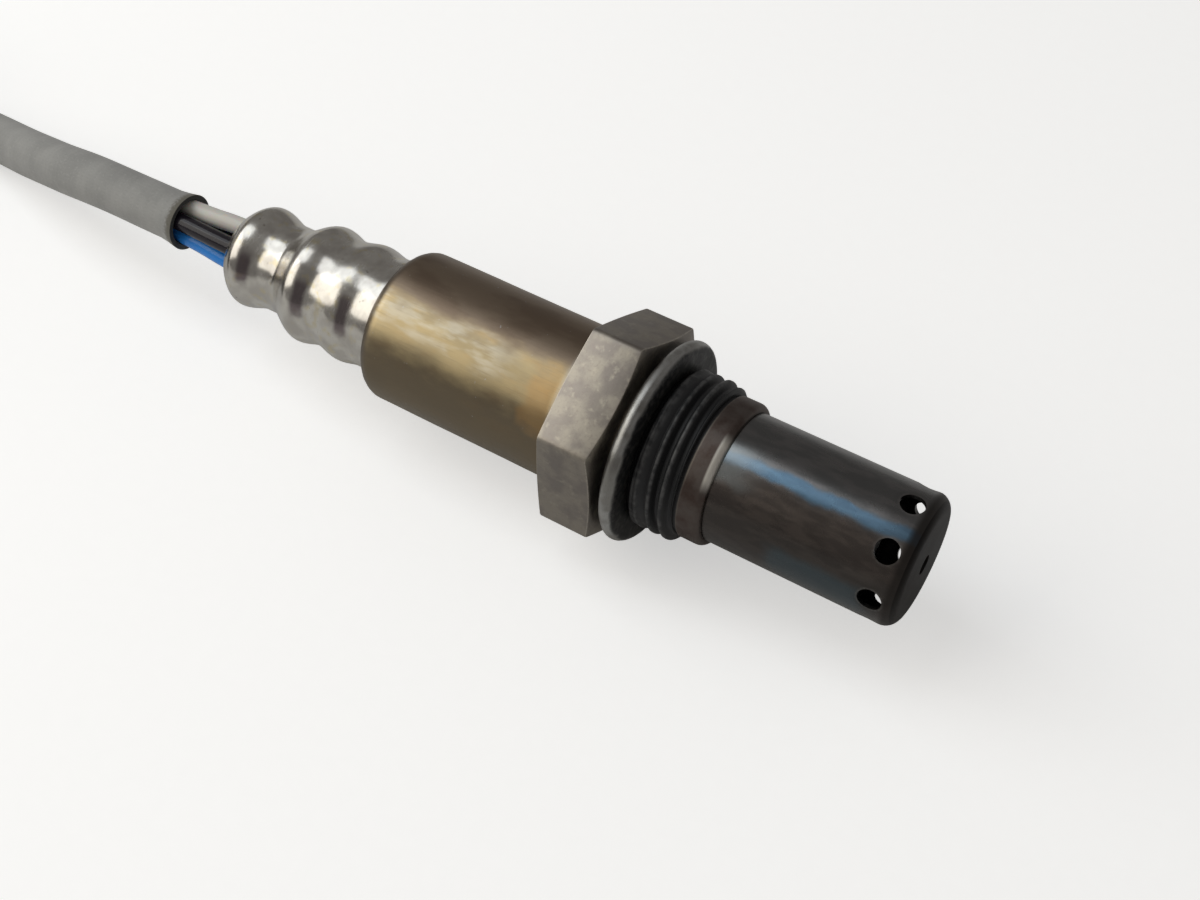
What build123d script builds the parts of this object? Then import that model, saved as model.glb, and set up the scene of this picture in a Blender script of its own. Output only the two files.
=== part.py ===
from build123d import *
import math
import os

os.makedirs("parts", exist_ok=True)

# Heated exhaust oxygen sensor with a cup-shaped sensing element, in millimetres.
# X is the sensor's axis, +X points to its tip, and Z is up. x = 0 is where the thread begins,
# just in front of the gasket ring. The sensor lies on a corner of its hexagon and on its harness.

# Mounting thread, hexagon and gasket ring
thread_diameter = 18.0
thread_reach = 5.1
thread_chamfer = 0.6
undercut_depth = 0.9
hex_across_flats = 22.0
hex_length = 6.5
hex_turn = 30
hex_face_inset = 0.3
hex_front_chamfer_angle = 15
hex_rear_chamfer_angle = 6
gasket_width = 3.3
gasket_thickness = 1.8
gasket_to_thread_gap = 0.15
gasket_sheet = 0.4
gasket_bore_clearance = 0.15
gasket_play = 1.0

# Nose of the housing, behind a groove, rolled over the flanges of the two protector tubes
nose_wall = 0.47
nose_web = 1.4
nose_roll = 0.8
nose_rim = 0.12
flange_lip = 0.3
relief_length = 0.5
relief_depth = 0.25

# Protector tubes
outer_tube_diameter = 14.6
outer_tube_wall = 0.5
outer_tube_reach = 29.6
outer_tube_corner = 1.6
outer_hole_diameter = 2.4
outer_hole_setback = 2.9
outer_hole_phase = -4.9
tube_gap = 1.0
inner_tube_wall = 0.4
inner_tube_corner = 1.2
inner_tip_gap = 5.2
inner_hole_diameter = 2.0
inner_hole_x = 10.5
hole_count = 8
end_hole_diameter = 2.2
inner_hole_stagger = 0.5

# Seat, sensing element and heater
nose_bore_clearance = 0.3
seat_front_x = 1.0
seat_washer_thickness = 0.3
collar_wall = 1.85
element_tip_diameter = 5.8
element_body_diameter = 8.6
element_tip_gap = 3.5
element_flange_length = 3.9
element_stem_diameter = 7.8
element_stem_length = 15.0
element_tip_wall = 1.1
heater_diameter = 2.9
heater_tip_gap = 0.4
heater_tail = 3.0
heater_tip_chamfer = 0.5

# Packing behind the element's flange
talc_length = 4.0
insulating_ring_length = 2.6
crimp_ring_length = 1.6
crimp_ring_gap = 0.55
collar_lip_thickness = 1.0
collar_mouth_diameter = 10.6
collar_round = 1.0

# Main cover, welded to the housing's collar
cover_diameter = 17.76
cover_wall = 0.6
cover_shoulder = 1.97

# Crimped rear sleeve: diameters, and the distance of each station from the one before
sleeve_wall = 0.5
sleeve_flange_setback = 3.6
neck_setback = 2.5
front_bulge_diameter = 14.2
front_bulge_pitch = 2.7
groove_diameter = 13.44
groove_pitch = 3.1
middle_bulge_diameter = 14.24
middle_bulge_pitch = 2.75
waist_diameter = 10.6
waist_front_pitch = 4.05
waist_length = 1.4
rear_bulge_diameter = 12.3
rear_bulge_pitch = 3.4
sleeve_mouth_diameter = 9.9
sleeve_mouth_pitch = 2.0
sleeve_mouth_slope = (0.5, 1)
grommet_recess = 0.5
grommet_front_setback = 2.0

# Contact holder, contacts and leads
collar_to_holder_gap = 2.7
pocket_end_gap = 1.1
pocket_side_gap = 0.67
holder_base_length = 6.8
holder_to_sleeve_gap = 0.3
lead_diameter = 2.2
lead_core_diameter = 1.4
lead_circle_diameter = 4.8
lead_phase = -39.3
lead_bend = 6.6
contact_wall = 0.3
contact_clearance = 0.05
contact_strip = 0.6
contact_ring_length = 4.0
barrel_step = 0.05
barrel_length = 3.3
strip_pass = 0.8

# Harness: a woven sleeve over the four leads, coiled once and a quarter, and its plug
harness_diameter = 6.3
harness_arc_share = 0.45
harness_route = [(-66.4, 0, 0), (-78, 0, 0), (-93, 1.9, -3.6), (-109, 6.5, -9.55), (-126, 6.5, -9.55)]
coil_centre_x = -148.0
coil_mean_diameter = 68.0
upper_turn_start = 40
upper_turn_end = 180
plug_inset = (14, -11)
plug_lead_straight = 3.5
plug_width = 20.0
plug_height = 19.0
plug_length = 38.0
plug_corner = 2.0
plug_inner_corner = 1.1
plug_wall = 1.8
plug_seal_depth = 6.0
plug_divider_length = 16.0
cavity_pitch = 6.0
cavity_clearance = 0.3
pin_width = 2.8
pin_thickness = 0.8
pin_tip_setback = 6.0
pin_start = 9.0
lock_thickness = 2.5
pin_tip_chamfer = 0.2
latch_width = 7.0
latch_height = 2.2
latch_setback = 1.8
latch_ramp = 3.6
latch_land = 1.8

# Clearances: between pressed or packed pieces, and between pieces that slide into place
press_clearance = 0.03
lead_clearance = 0.02
slide_clearance = 0.1
holder_clearance = 0.3

# Radii and stations worked out from the driving dimensions
thread_radius = thread_diameter / 2
undercut_radius = thread_radius - undercut_depth
hex_corner_radius = hex_across_flats / 2 / math.cos(math.radians(hex_turn))
floor_z = -hex_corner_radius
gasket_front_x = -gasket_to_thread_gap
gasket_rear_x = gasket_front_x - gasket_thickness
hex_front_x = gasket_rear_x - gasket_play
hex_rear_x = hex_front_x - hex_length
outer_tube_radius = outer_tube_diameter / 2
inner_tube_radius = outer_tube_radius - outer_tube_wall - tube_gap
inner_flange_rear_x = thread_reach + nose_web
outer_flange_rear_x = inner_flange_rear_x + inner_tube_wall
outer_flange_front_x = outer_flange_rear_x + outer_tube_wall
flange_radius = outer_tube_radius + flange_lip
nose_radius = flange_radius + press_clearance + nose_wall
nose_front_x = outer_flange_front_x + nose_roll
lip_bore_radius = outer_tube_radius + press_clearance
inner_tip_x = outer_tube_reach - outer_tube_wall - inner_tip_gap
cover_radius = cover_diameter / 2
cover_inner_radius = cover_radius - cover_wall
collar_radius = cover_inner_radius - press_clearance
packing_bore_radius = collar_radius - collar_wall
body_radius = element_body_diameter / 2
nose_bore_radius = body_radius + nose_bore_clearance
seat_rear_x = seat_front_x - (packing_bore_radius - nose_bore_radius)
washer_shift = seat_washer_thickness * math.sqrt(2)
flange_rear_x = seat_rear_x - washer_shift - element_flange_length
talc_rear_x = flange_rear_x - talc_length
insulating_rear_x = talc_rear_x - insulating_ring_length
crimp_ring_rear_x = insulating_rear_x - crimp_ring_length
collar_rear_x = crimp_ring_rear_x - collar_lip_thickness
element_rear_x = flange_rear_x - element_stem_length
heater_rear_x = element_rear_x - heater_tail
element_front_x = inner_tip_x - inner_tube_wall - element_tip_gap
stem_radius = element_stem_diameter / 2
heater_radius = heater_diameter / 2
bore_radius = heater_radius + contact_wall + 2 * contact_clearance
holder_front_x = collar_rear_x - collar_to_holder_gap
pocket_rear_x = heater_rear_x - pocket_end_gap
pocket_radius = stem_radius + press_clearance + contact_wall + pocket_side_gap
holder_rear_x = pocket_rear_x - holder_base_length
sleeve_front_x = holder_rear_x - holder_to_sleeve_gap
cover_rear_x = sleeve_front_x - sleeve_flange_setback
cover_mouth_radius = cover_radius - cover_shoulder
neck_radius = cover_mouth_radius - press_clearance
lead_radius = lead_diameter / 2
lead_circle = lead_circle_diameter / 2
barrel_radius = lead_radius + barrel_step
barrel_front_x = pocket_rear_x - slide_clearance
core_rear_x = barrel_front_x - barrel_length
bundle_circle = math.sqrt(2) * (lead_radius + lead_clearance)
cavity_width = pin_width + 2 * cavity_clearance
harness_radius = harness_diameter / 2


def radial(angle):
    """Unit vector across the axis, turned about +X by an angle from straight up."""
    return (0, -math.sin(math.radians(angle)), math.cos(math.radians(angle)))


def radial_plane(angle):
    """Plane whose x is the sensor's axis and whose y points outwards at an angle."""
    out = radial(angle)
    return Plane(origin=(0, 0, 0), x_dir=(1, 0, 0), z_dir=(0, -out[2], out[1]))


def drill_plane(angle, x):
    """Plane on the axis that faces outwards at an angle, for holes through a tube's wall."""
    return Plane(origin=(x, 0, 0), x_dir=(1, 0, 0), z_dir=radial(angle))


def save(piece, name):
    piece.part.label = name
    export_step(piece.part, f"parts/{name}.step")


# Housing: one turned steel body with its hexagon, thread, nose and collar
hex_face_radius = hex_across_flats / 2 - hex_face_inset
hex_corner_inset = hex_corner_radius - hex_face_radius
hex_front_chamfer = hex_corner_inset * math.tan(math.radians(hex_front_chamfer_angle))
hex_rear_chamfer = hex_corner_inset * math.tan(math.radians(hex_rear_chamfer_angle))
relief_front_x = thread_reach + relief_length
relief_radius = nose_radius - relief_depth
hex_middle_x = hex_rear_x + hex_length / 2

with BuildPart() as housing:
    with BuildSketch(Plane.YZ.offset(hex_rear_x)):
        RegularPolygon(hex_across_flats / 2, 6, major_radius=False, rotation=hex_turn)
    extrude(amount=hex_length)
    with BuildSketch(Plane.XZ):
        with BuildLine():
            Polyline(
                (hex_rear_x, 0),
                (hex_rear_x, hex_face_radius),
                (hex_rear_x + hex_rear_chamfer, hex_corner_radius),
                (hex_front_x - hex_front_chamfer, hex_corner_radius),
                (hex_front_x, hex_face_radius),
                (hex_front_x, 0),
                close=True,
            )
        make_face()
    revolve(axis=Axis.X, mode=Mode.INTERSECT)
    with BuildSketch(Plane.XZ):
        with BuildLine():
            Polyline(
                (nose_front_x, lip_bore_radius + nose_rim),
                (nose_front_x, 0),
                (collar_rear_x, 0),
                (collar_rear_x, collar_radius - collar_round),
            )
            JernArc((collar_rear_x, collar_radius - collar_round), (0, 1), collar_round, -90)
            Polyline(
                (collar_rear_x + collar_round, collar_radius),
                (hex_middle_x, collar_radius),
                (hex_middle_x, undercut_radius),
                (0, undercut_radius),
                (0, thread_radius),
                (thread_reach - thread_chamfer, thread_radius),
                (thread_reach, thread_radius - thread_chamfer),
                (thread_reach, relief_radius),
                (relief_front_x, relief_radius),
                (relief_front_x, nose_radius),
                (outer_flange_front_x, nose_radius),
            )
            TangentArc(
                (outer_flange_front_x, nose_radius),
                (nose_front_x, lip_bore_radius + nose_rim),
                tangent=(1, 0),
            )
        make_face()
    revolve(axis=Axis.X)
    with BuildSketch(Plane.XZ):
        with BuildLine():
            Polyline(
                (nose_front_x, 0),
                (nose_front_x, lip_bore_radius),
                (outer_flange_front_x, lip_bore_radius),
                (outer_flange_front_x, flange_radius + press_clearance),
                (inner_flange_rear_x, flange_radius + press_clearance),
                (inner_flange_rear_x, nose_bore_radius),
                (seat_front_x, nose_bore_radius),
                (seat_rear_x, packing_bore_radius),
                (crimp_ring_rear_x, packing_bore_radius),
                (crimp_ring_rear_x, collar_mouth_diameter / 2),
                (collar_rear_x, collar_mouth_diameter / 2),
                (collar_rear_x, 0),
                close=True,
            )
        make_face()
    revolve(axis=Axis.X, mode=Mode.SUBTRACT)
save(housing, "housing")

# Gasket ring: sheet steel folded back on itself, with a round outer edge, open towards the shank.
# Its bore is smaller than the thread, which keeps it on the undercut shank.
gasket_bore_radius = undercut_radius + gasket_bore_clearance
gasket_edge = gasket_thickness / 2
gasket_fold_x = gasket_front_x - gasket_sheet
gasket_straight_radius = gasket_bore_radius + gasket_width - gasket_edge

with BuildPart() as gasket_ring:
    with BuildSketch(Plane.XZ):
        with BuildLine():
            Line((gasket_rear_x, gasket_bore_radius), (gasket_rear_x, gasket_straight_radius))
            JernArc((gasket_rear_x, gasket_straight_radius), (0, 1), gasket_edge, -180)
            Polyline(
                (gasket_front_x, gasket_straight_radius),
                (gasket_front_x, gasket_bore_radius),
                (gasket_fold_x, gasket_bore_radius),
                (gasket_fold_x, gasket_straight_radius),
            )
            JernArc((gasket_fold_x, gasket_straight_radius), (0, 1), gasket_edge - gasket_sheet, 180)
            Polyline(
                (gasket_rear_x + gasket_sheet, gasket_straight_radius),
                (gasket_rear_x + gasket_sheet, gasket_bore_radius),
                (gasket_rear_x, gasket_bore_radius),
            )
        make_face()
    revolve(axis=Axis.X)
save(gasket_ring, "gasket_ring")


def cup_outline(flange_x, rim_radius, tube_radius, wall, tip_x, corner):
    """Half-section of a drawn tube, flanged at its open end and closed at its tip."""
    inner = tube_radius - wall
    Polyline(
        (tip_x - wall, tube_radius - corner),
        (tip_x - wall, 0),
        (tip_x, 0),
        (tip_x, tube_radius - corner),
    )
    JernArc((tip_x, tube_radius - corner), (0, 1), corner, 90)
    Polyline(
        (tip_x - corner, tube_radius),
        (flange_x + wall, tube_radius),
        (flange_x + wall, rim_radius),
        (flange_x, rim_radius),
        (flange_x, inner),
        (tip_x - corner, inner),
    )
    JernArc((tip_x - corner, inner), (1, 0), corner - wall, -90)


# Outer protector: the drawn tube around the tip, with a ring of gas holes near its end
with BuildPart() as outer_protector:
    with BuildSketch(Plane.XZ):
        with BuildLine():
            cup_outline(
                outer_flange_rear_x,
                flange_radius,
                outer_tube_radius,
                outer_tube_wall,
                outer_tube_reach,
                outer_tube_corner,
            )
        make_face()
    revolve(axis=Axis.X)
    for index in range(hole_count):
        angle = outer_hole_phase + index * 360 / hole_count
        with BuildSketch(drill_plane(angle, outer_tube_reach - outer_hole_setback)):
            Circle(outer_hole_diameter / 2)
        extrude(amount=outer_tube_radius, mode=Mode.SUBTRACT)
    with BuildSketch(Plane.YZ.offset(outer_tube_reach)):
        Circle(end_hole_diameter / 2)
    extrude(amount=-outer_tube_wall, mode=Mode.SUBTRACT)
save(outer_protector, "outer_protector")

# Inner protector: a narrower tube whose holes lie back near the nose, so that gas turns once
with BuildPart() as inner_protector:
    with BuildSketch(Plane.XZ):
        with BuildLine():
            cup_outline(
                inner_flange_rear_x,
                flange_radius,
                inner_tube_radius,
                inner_tube_wall,
                inner_tip_x,
                inner_tube_corner,
            )
        make_face()
    revolve(axis=Axis.X)
    for index in range(hole_count):
        angle = outer_hole_phase + (index + inner_hole_stagger) * 360 / hole_count
        with BuildSketch(drill_plane(angle, inner_hole_x)):
            Circle(inner_hole_diameter / 2)
        extrude(amount=inner_tube_radius, mode=Mode.SUBTRACT)
    with BuildSketch(Plane.YZ.offset(inner_tip_x)):
        Circle(end_hole_diameter / 2)
    extrude(amount=-inner_tube_wall, mode=Mode.SUBTRACT)
save(inner_protector, "inner_protector")

# Seat washer: a thin cone between the housing's seat and the element's flange
element_flange_radius = packing_bore_radius - slide_clearance
washer_outer_x = seat_front_x - (element_flange_radius - nose_bore_radius)

with BuildPart() as seat_washer:
    with BuildSketch(Plane.XZ):
        with BuildLine():
            Polyline(
                (seat_front_x, nose_bore_radius),
                (washer_outer_x, element_flange_radius),
                (washer_outer_x - washer_shift, element_flange_radius),
                (seat_front_x - washer_shift, nose_bore_radius),
                close=True,
            )
        make_face()
    revolve(axis=Axis.X)
save(seat_washer, "seat_washer")

# Sensing element: a ceramic thimble, closed at the tip, with a coned flange and a long stem
tip_radius = element_tip_diameter / 2
bore_front_x = element_front_x - element_tip_wall
cone_front_x = seat_front_x - washer_shift + (nose_bore_radius - body_radius)

with BuildPart() as sensing_element:
    with BuildSketch(Plane.XZ):
        with BuildLine():
            JernArc((element_front_x, 0), (0, 1), tip_radius, 90)
            Polyline(
                (element_front_x - tip_radius, tip_radius),
                (cone_front_x, body_radius),
                (washer_outer_x - washer_shift, element_flange_radius),
                (flange_rear_x, element_flange_radius),
                (flange_rear_x, stem_radius),
                (element_rear_x, stem_radius),
                (element_rear_x, bore_radius),
                (bore_front_x - bore_radius, bore_radius),
            )
            JernArc((bore_front_x - bore_radius, bore_radius), (1, 0), bore_radius, -90)
            Line((bore_front_x, 0), (element_front_x, 0))
        make_face()
    revolve(axis=Axis.X)
save(sensing_element, "sensing_element")

# Heater rod: a ceramic rod that fills the thimble's bore and stands out behind it
heater_front_x = bore_front_x - heater_tip_gap

with BuildPart() as heater_rod:
    with BuildSketch(Plane.YZ.offset(heater_rear_x)):
        Circle(heater_radius)
    extrude(amount=heater_front_x - heater_rear_x)
    chamfer(heater_rod.faces().sort_by(Axis.X)[-1].edges(), heater_tip_chamfer)
save(heater_rod, "heater_rod")


def ring_outline(front_x, rear_x, inner, outer):
    """Rectangular half-section of a ring between two stations."""
    Polyline((front_x, inner), (front_x, outer), (rear_x, outer), (rear_x, inner), close=True)


# Packing: pressed talc, an insulating ring and the steel ring under the collar's rolled lip
packing_outer = packing_bore_radius - press_clearance
packing_inner = stem_radius + press_clearance
packing_pieces = {
    "talc_packing": (flange_rear_x, talc_rear_x, packing_inner),
    "insulating_ring": (talc_rear_x, insulating_rear_x, packing_inner),
    "crimp_ring": (insulating_rear_x, crimp_ring_rear_x, stem_radius + crimp_ring_gap),
}
for name, (front_x, rear_x, inner) in packing_pieces.items():
    with BuildPart() as packing:
        with BuildSketch(Plane.XZ):
            with BuildLine():
                ring_outline(front_x, rear_x, inner, packing_outer)
            make_face()
        revolve(axis=Axis.X)
    save(packing, name)

# Main cover: a drawn steel tube that butts on the hexagon, with a rounded shoulder at its mouth
with BuildPart() as main_cover:
    with BuildSketch(Plane.XZ):
        with BuildLine():
            Polyline(
                (cover_rear_x + cover_shoulder, cover_radius),
                (hex_rear_x, cover_radius),
                (hex_rear_x, cover_inner_radius),
                (cover_rear_x + cover_shoulder, cover_inner_radius),
            )
            JernArc(
                (cover_rear_x + cover_shoulder, cover_inner_radius),
                (-1, 0),
                cover_shoulder - cover_wall,
                90,
            )
            Line((cover_rear_x + cover_wall, cover_mouth_radius), (cover_rear_x, cover_mouth_radius))
            JernArc((cover_rear_x, cover_mouth_radius), (0, 1), cover_shoulder, -90)
        make_face()
    revolve(axis=Axis.X)
save(main_cover, "main_cover")

# Crimp stations of the rear sleeve, from its neck back to its mouth
neck_x = cover_rear_x - neck_setback
front_bulge_x = neck_x - front_bulge_pitch
groove_x = front_bulge_x - groove_pitch
middle_bulge_x = groove_x - middle_bulge_pitch
waist_front_x = middle_bulge_x - waist_front_pitch
waist_rear_x = waist_front_x - waist_length
rear_bulge_x = waist_rear_x - rear_bulge_pitch
sleeve_rear_x = rear_bulge_x - sleeve_mouth_pitch
crimp_stations = [
    (sleeve_rear_x, sleeve_mouth_diameter / 2),
    (rear_bulge_x, rear_bulge_diameter / 2),
    (waist_rear_x, waist_diameter / 2),
    (waist_front_x, waist_diameter / 2),
    (middle_bulge_x, middle_bulge_diameter / 2),
    (groove_x, groove_diameter / 2),
    (front_bulge_x, front_bulge_diameter / 2),
    (neck_x, neck_radius),
]
crimp_slopes = [sleeve_mouth_slope] + [(1, 0)] * (len(crimp_stations) - 1)


def crimp_curve(inset):
    """The crimped profile, moved inwards by an inset."""
    return Spline(*[(x, radius - inset) for x, radius in crimp_stations], tangents=crimp_slopes)


# Rear sleeve: thin steel crimped on the rubber grommet, its front end flared inside the cover
flare_radius = cover_inner_radius - slide_clearance
flare_bend = sleeve_wall

with BuildPart() as rear_sleeve:
    with BuildSketch(Plane.XZ):
        with BuildLine():
            crimp_curve(0)
            Polyline(
                (neck_x, neck_radius),
                (sleeve_front_x - sleeve_wall - flare_bend, neck_radius),
                (sleeve_front_x - sleeve_wall, neck_radius + flare_bend),
                (sleeve_front_x - sleeve_wall, flare_radius),
                (sleeve_front_x, flare_radius),
                (sleeve_front_x, neck_radius),
                (sleeve_front_x - sleeve_wall, neck_radius - sleeve_wall),
                (neck_x, neck_radius - sleeve_wall),
            )
            crimp_curve(sleeve_wall)
            Line(
                (sleeve_rear_x, sleeve_mouth_diameter / 2 - sleeve_wall),
                (sleeve_rear_x, sleeve_mouth_diameter / 2),
            )
        make_face()
    revolve(axis=Axis.X)
save(rear_sleeve, "rear_sleeve")

# Leads: each has an angle about the axis, and its place in the plug's grid of cavities
lead_names = ["white", "black_front", "blue", "black_rear"]
lead_angles = {name: lead_phase + index * 90 for index, name in enumerate(lead_names)}
plug_cells = {"white": (-1, 1), "black_front": (1, 1), "blue": (1, -1), "black_rear": (-1, -1)}
grommet_rear_x = sleeve_rear_x + grommet_recess
grommet_front_x = neck_x + grommet_front_setback
grommet_inset = sleeve_wall + press_clearance

# Rubber grommet: fills the crimped sleeve and seals around each of the four leads
with BuildPart() as grommet:
    with BuildSketch(Plane.XZ):
        with BuildLine():
            crimp_curve(grommet_inset)
            Polyline(
                (neck_x, neck_radius - grommet_inset),
                (grommet_front_x, neck_radius - grommet_inset),
                (grommet_front_x, 0),
                (sleeve_rear_x, 0),
                (sleeve_rear_x, sleeve_mouth_diameter / 2 - grommet_inset),
            )
        make_face()
    revolve(axis=Axis.X)
    split(bisect_by=Plane.YZ.offset(grommet_rear_x), keep=Keep.TOP)
    with BuildSketch(Plane.YZ.offset(grommet_rear_x)):
        with PolarLocations(lead_circle, len(lead_names), start_angle=90 + lead_phase):
            Circle(lead_radius + press_clearance)
    extrude(amount=grommet_front_x - grommet_rear_x, mode=Mode.SUBTRACT)
save(grommet, "grommet")

# Contact holder: a ceramic block with a pocket over the element's end and a bore for each lead
with BuildPart() as contact_holder:
    with BuildSketch(Plane.YZ.offset(holder_rear_x)):
        Circle(cover_inner_radius - holder_clearance)
    extrude(amount=holder_front_x - holder_rear_x)
    chamfer(contact_holder.edges(), holder_clearance)
    with BuildSketch(Plane.YZ.offset(pocket_rear_x)):
        Circle(pocket_radius)
    extrude(amount=holder_front_x - pocket_rear_x, mode=Mode.SUBTRACT)
    with BuildSketch(Plane.YZ.offset(holder_rear_x)):
        with PolarLocations(lead_circle, len(lead_names), start_angle=90 + lead_phase):
            Circle(barrel_radius + slide_clearance)
    extrude(amount=holder_base_length, mode=Mode.SUBTRACT)
save(contact_holder, "contact_holder")

# Contacts: each is a pad or ring on the element or heater, a strip, and a crimp barrel on a lead
core_radius = lead_core_diameter / 2
strip_outer = lead_circle + barrel_radius
strip_inner = lead_circle + core_radius + press_clearance
sleeve_contact_outer = bore_radius - contact_clearance
strip_start_x = element_rear_x - slide_clearance
heater_strip_x = heater_rear_x + strip_pass + slide_clearance
contact_pads = {
    "outer_contact": ("white", strip_start_x, stem_radius + press_clearance),
    "inner_contact": ("blue", strip_start_x, sleeve_contact_outer - contact_wall),
    "heater_contact_front": ("black_front", heater_strip_x, heater_radius + press_clearance),
    "heater_contact_rear": ("black_rear", heater_strip_x, heater_radius + press_clearance),
}
for name, (lead_name, pad_x, pad_radius) in contact_pads.items():
    angle = lead_angles[lead_name]
    centre = [lead_circle * share for share in radial(angle)]
    with BuildPart() as contact:
        with BuildSketch(Plane(origin=(core_rear_x, centre[1], centre[2]), z_dir=(1, 0, 0))):
            Circle(barrel_radius)
            Circle(core_radius + press_clearance, mode=Mode.SUBTRACT)
        extrude(amount=barrel_length)
        bar_inner = min(pad_radius, strip_inner)
        bar_outer = max(pad_radius + contact_wall, strip_outer)
        strip_rear_x = barrel_front_x - strip_pass
        with BuildSketch(radial_plane(angle)):
            with Locations((pad_x - strip_pass, bar_inner)):
                Rectangle(strip_pass, bar_outer - bar_inner, align=Align.MIN)
            with Locations((strip_rear_x, strip_inner)):
                Rectangle(pad_x - strip_rear_x, strip_outer - strip_inner, align=Align.MIN)
        extrude(amount=contact_strip / 2, both=True)
        if name == "outer_contact":
            with BuildSketch(Plane.YZ.offset(pad_x - strip_pass)):
                Circle(pad_radius + contact_wall)
                Circle(pad_radius, mode=Mode.SUBTRACT)
            extrude(amount=contact_ring_length)
        if name == "inner_contact":
            with BuildSketch(Plane.YZ.offset(pad_x - strip_pass)):
                Circle(sleeve_contact_outer)
                Circle(pad_radius, mode=Mode.SUBTRACT)
            extrude(amount=contact_ring_length + element_stem_length / 2)
    save(contact, name)

# Leads at the sensor: from their contacts through holder and grommet, closing into the harness
harness_start_x = harness_route[0][0]
lead_straight_x = sleeve_rear_x - lead_radius
bundle_front_x = harness_start_x + lead_radius
for lead_name, angle in lead_angles.items():
    out = radial(angle)
    lead_points = [
        (core_rear_x, lead_circle * out[1], lead_circle * out[2]),
        (lead_straight_x, lead_circle * out[1], lead_circle * out[2]),
        (bundle_front_x, bundle_circle * out[1], bundle_circle * out[2]),
        (harness_start_x, bundle_circle * out[1], bundle_circle * out[2]),
    ]
    with BuildPart() as lead:
        with BuildLine() as lead_path:
            FilletPolyline(*lead_points, radius=lead_bend)
        with BuildSketch(Plane(origin=lead_points[0], z_dir=(-1, 0, 0))):
            Circle(lead_radius)
        sweep(path=lead_path.line)
        with BuildSketch(Plane(origin=lead_points[0], z_dir=(1, 0, 0))):
            Circle(core_radius)
        extrude(amount=barrel_length)
    save(lead, f"lead_{lead_name}")


# Harness sleeve from the leads down to the floor, with the widest arc that fits at each corner
corners = [Vector(*point) for point in harness_route]
harness_radii = []
for before, corner, after in zip(corners, corners[1:], corners[2:]):
    turn = math.radians((corner - before).get_angle(after - corner))
    shorter = min((corner - before).length, (after - corner).length)
    harness_radii.append(harness_arc_share * shorter / math.tan(turn / 2))

with BuildPart() as harness_tube:
    with BuildLine() as tube_path:
        FilletPolyline(*harness_route, radius=harness_radii)
    with BuildSketch(Plane(origin=harness_route[0], z_dir=(-1, 0, 0))):
        Circle(harness_radius)
    sweep(path=tube_path.line)
expected = math.pi * harness_radius**2 * tube_path.wires()[0].length
print("harness radii", [round(radius, 1) for radius in harness_radii])
print("harness volume share", harness_tube.part.volume / expected)
save(harness_tube, "harness_tube")

# Harness coil: one flat turn, a second turn begun on top of it, and the straight end that enters it
coil_radius = coil_mean_diameter / 2
entry = harness_route[-1]
coil_centre = (coil_centre_x, entry[1] - coil_radius, 0)
upper_turn_z = entry[2] + harness_diameter
coil_axis = Axis(coil_centre, (0, 0, 1))


def coil_plane(angle):
    """Upright plane through the coil's centre, with x outwards at an angle from +X."""
    turn = math.radians(angle)
    return Plane(
        origin=coil_centre,
        x_dir=(math.cos(turn), math.sin(turn), 0),
        z_dir=(math.sin(turn), -math.cos(turn), 0),
    )


with BuildPart() as harness_coil:
    with BuildSketch(coil_plane(upper_turn_start)):
        with Locations((coil_radius, (entry[2] + upper_turn_z) / 2)):
            Rectangle(harness_diameter, upper_turn_z - entry[2])
        with Locations((coil_radius, entry[2]), (coil_radius, upper_turn_z)):
            Circle(harness_radius)
    revolve(axis=coil_axis, revolution_arc=upper_turn_end - upper_turn_start)
    with BuildSketch(coil_plane(upper_turn_end)):
        with Locations((coil_radius, entry[2])):
            Circle(harness_radius)
    revolve(axis=coil_axis, revolution_arc=360 - (upper_turn_end - upper_turn_start))
    with BuildSketch(Plane(origin=entry, z_dir=(-1, 0, 0))):
        Circle(harness_radius)
    extrude(amount=entry[0] - coil_centre_x)
save(harness_coil, "harness_coil")

# Plug: it lies inside the coil, and its plane faces the open mouth, with x along +Y and y up
plug_rear = (coil_centre_x - coil_radius + plug_inset[0], coil_centre[1] + plug_inset[1])
plug_centre_z = floor_z + plug_height / 2
plug_plane = Plane(origin=(*plug_rear, plug_centre_z), x_dir=(0, 1, 0), z_dir=(1, 0, 0))
mouth_depth = plug_length - plug_seal_depth - plug_divider_length
mouth_floor = plug_seal_depth + plug_divider_length
mouth_width = plug_width - 2 * plug_wall
mouth_height = plug_height - 2 * plug_wall
plug_top_z = plug_centre_z + plug_height / 2
latch_front_x = plug_rear[0] + plug_length - latch_setback
latch_left_y = plug_rear[1] + latch_width / 2

with BuildPart() as connector_shell:
    with BuildSketch(plug_plane):
        RectangleRounded(plug_width, plug_height, plug_corner)
    extrude(amount=plug_length)
    with BuildSketch(plug_plane):
        RectangleRounded(mouth_width, mouth_height, plug_inner_corner)
    extrude(amount=plug_seal_depth, mode=Mode.SUBTRACT)
    with BuildSketch(plug_plane.offset(plug_seal_depth)):
        with GridLocations(cavity_pitch, cavity_pitch, 2, 2):
            Rectangle(cavity_width, cavity_width)
    extrude(amount=plug_divider_length, mode=Mode.SUBTRACT)
    with BuildSketch(plug_plane.offset(mouth_floor)):
        RectangleRounded(mouth_width, mouth_height, plug_inner_corner)
    extrude(amount=mouth_depth, mode=Mode.SUBTRACT)
    with BuildSketch(Plane.XZ.offset(-latch_left_y)):
        with BuildLine():
            Polyline(
                (latch_front_x, plug_top_z),
                (latch_front_x - latch_ramp, plug_top_z + latch_height),
                (latch_front_x - latch_ramp - latch_land, plug_top_z + latch_height),
                (latch_front_x - latch_ramp - latch_land, plug_top_z),
                close=True,
            )
        make_face()
    extrude(amount=latch_width)
save(connector_shell, "connector_shell")

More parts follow.
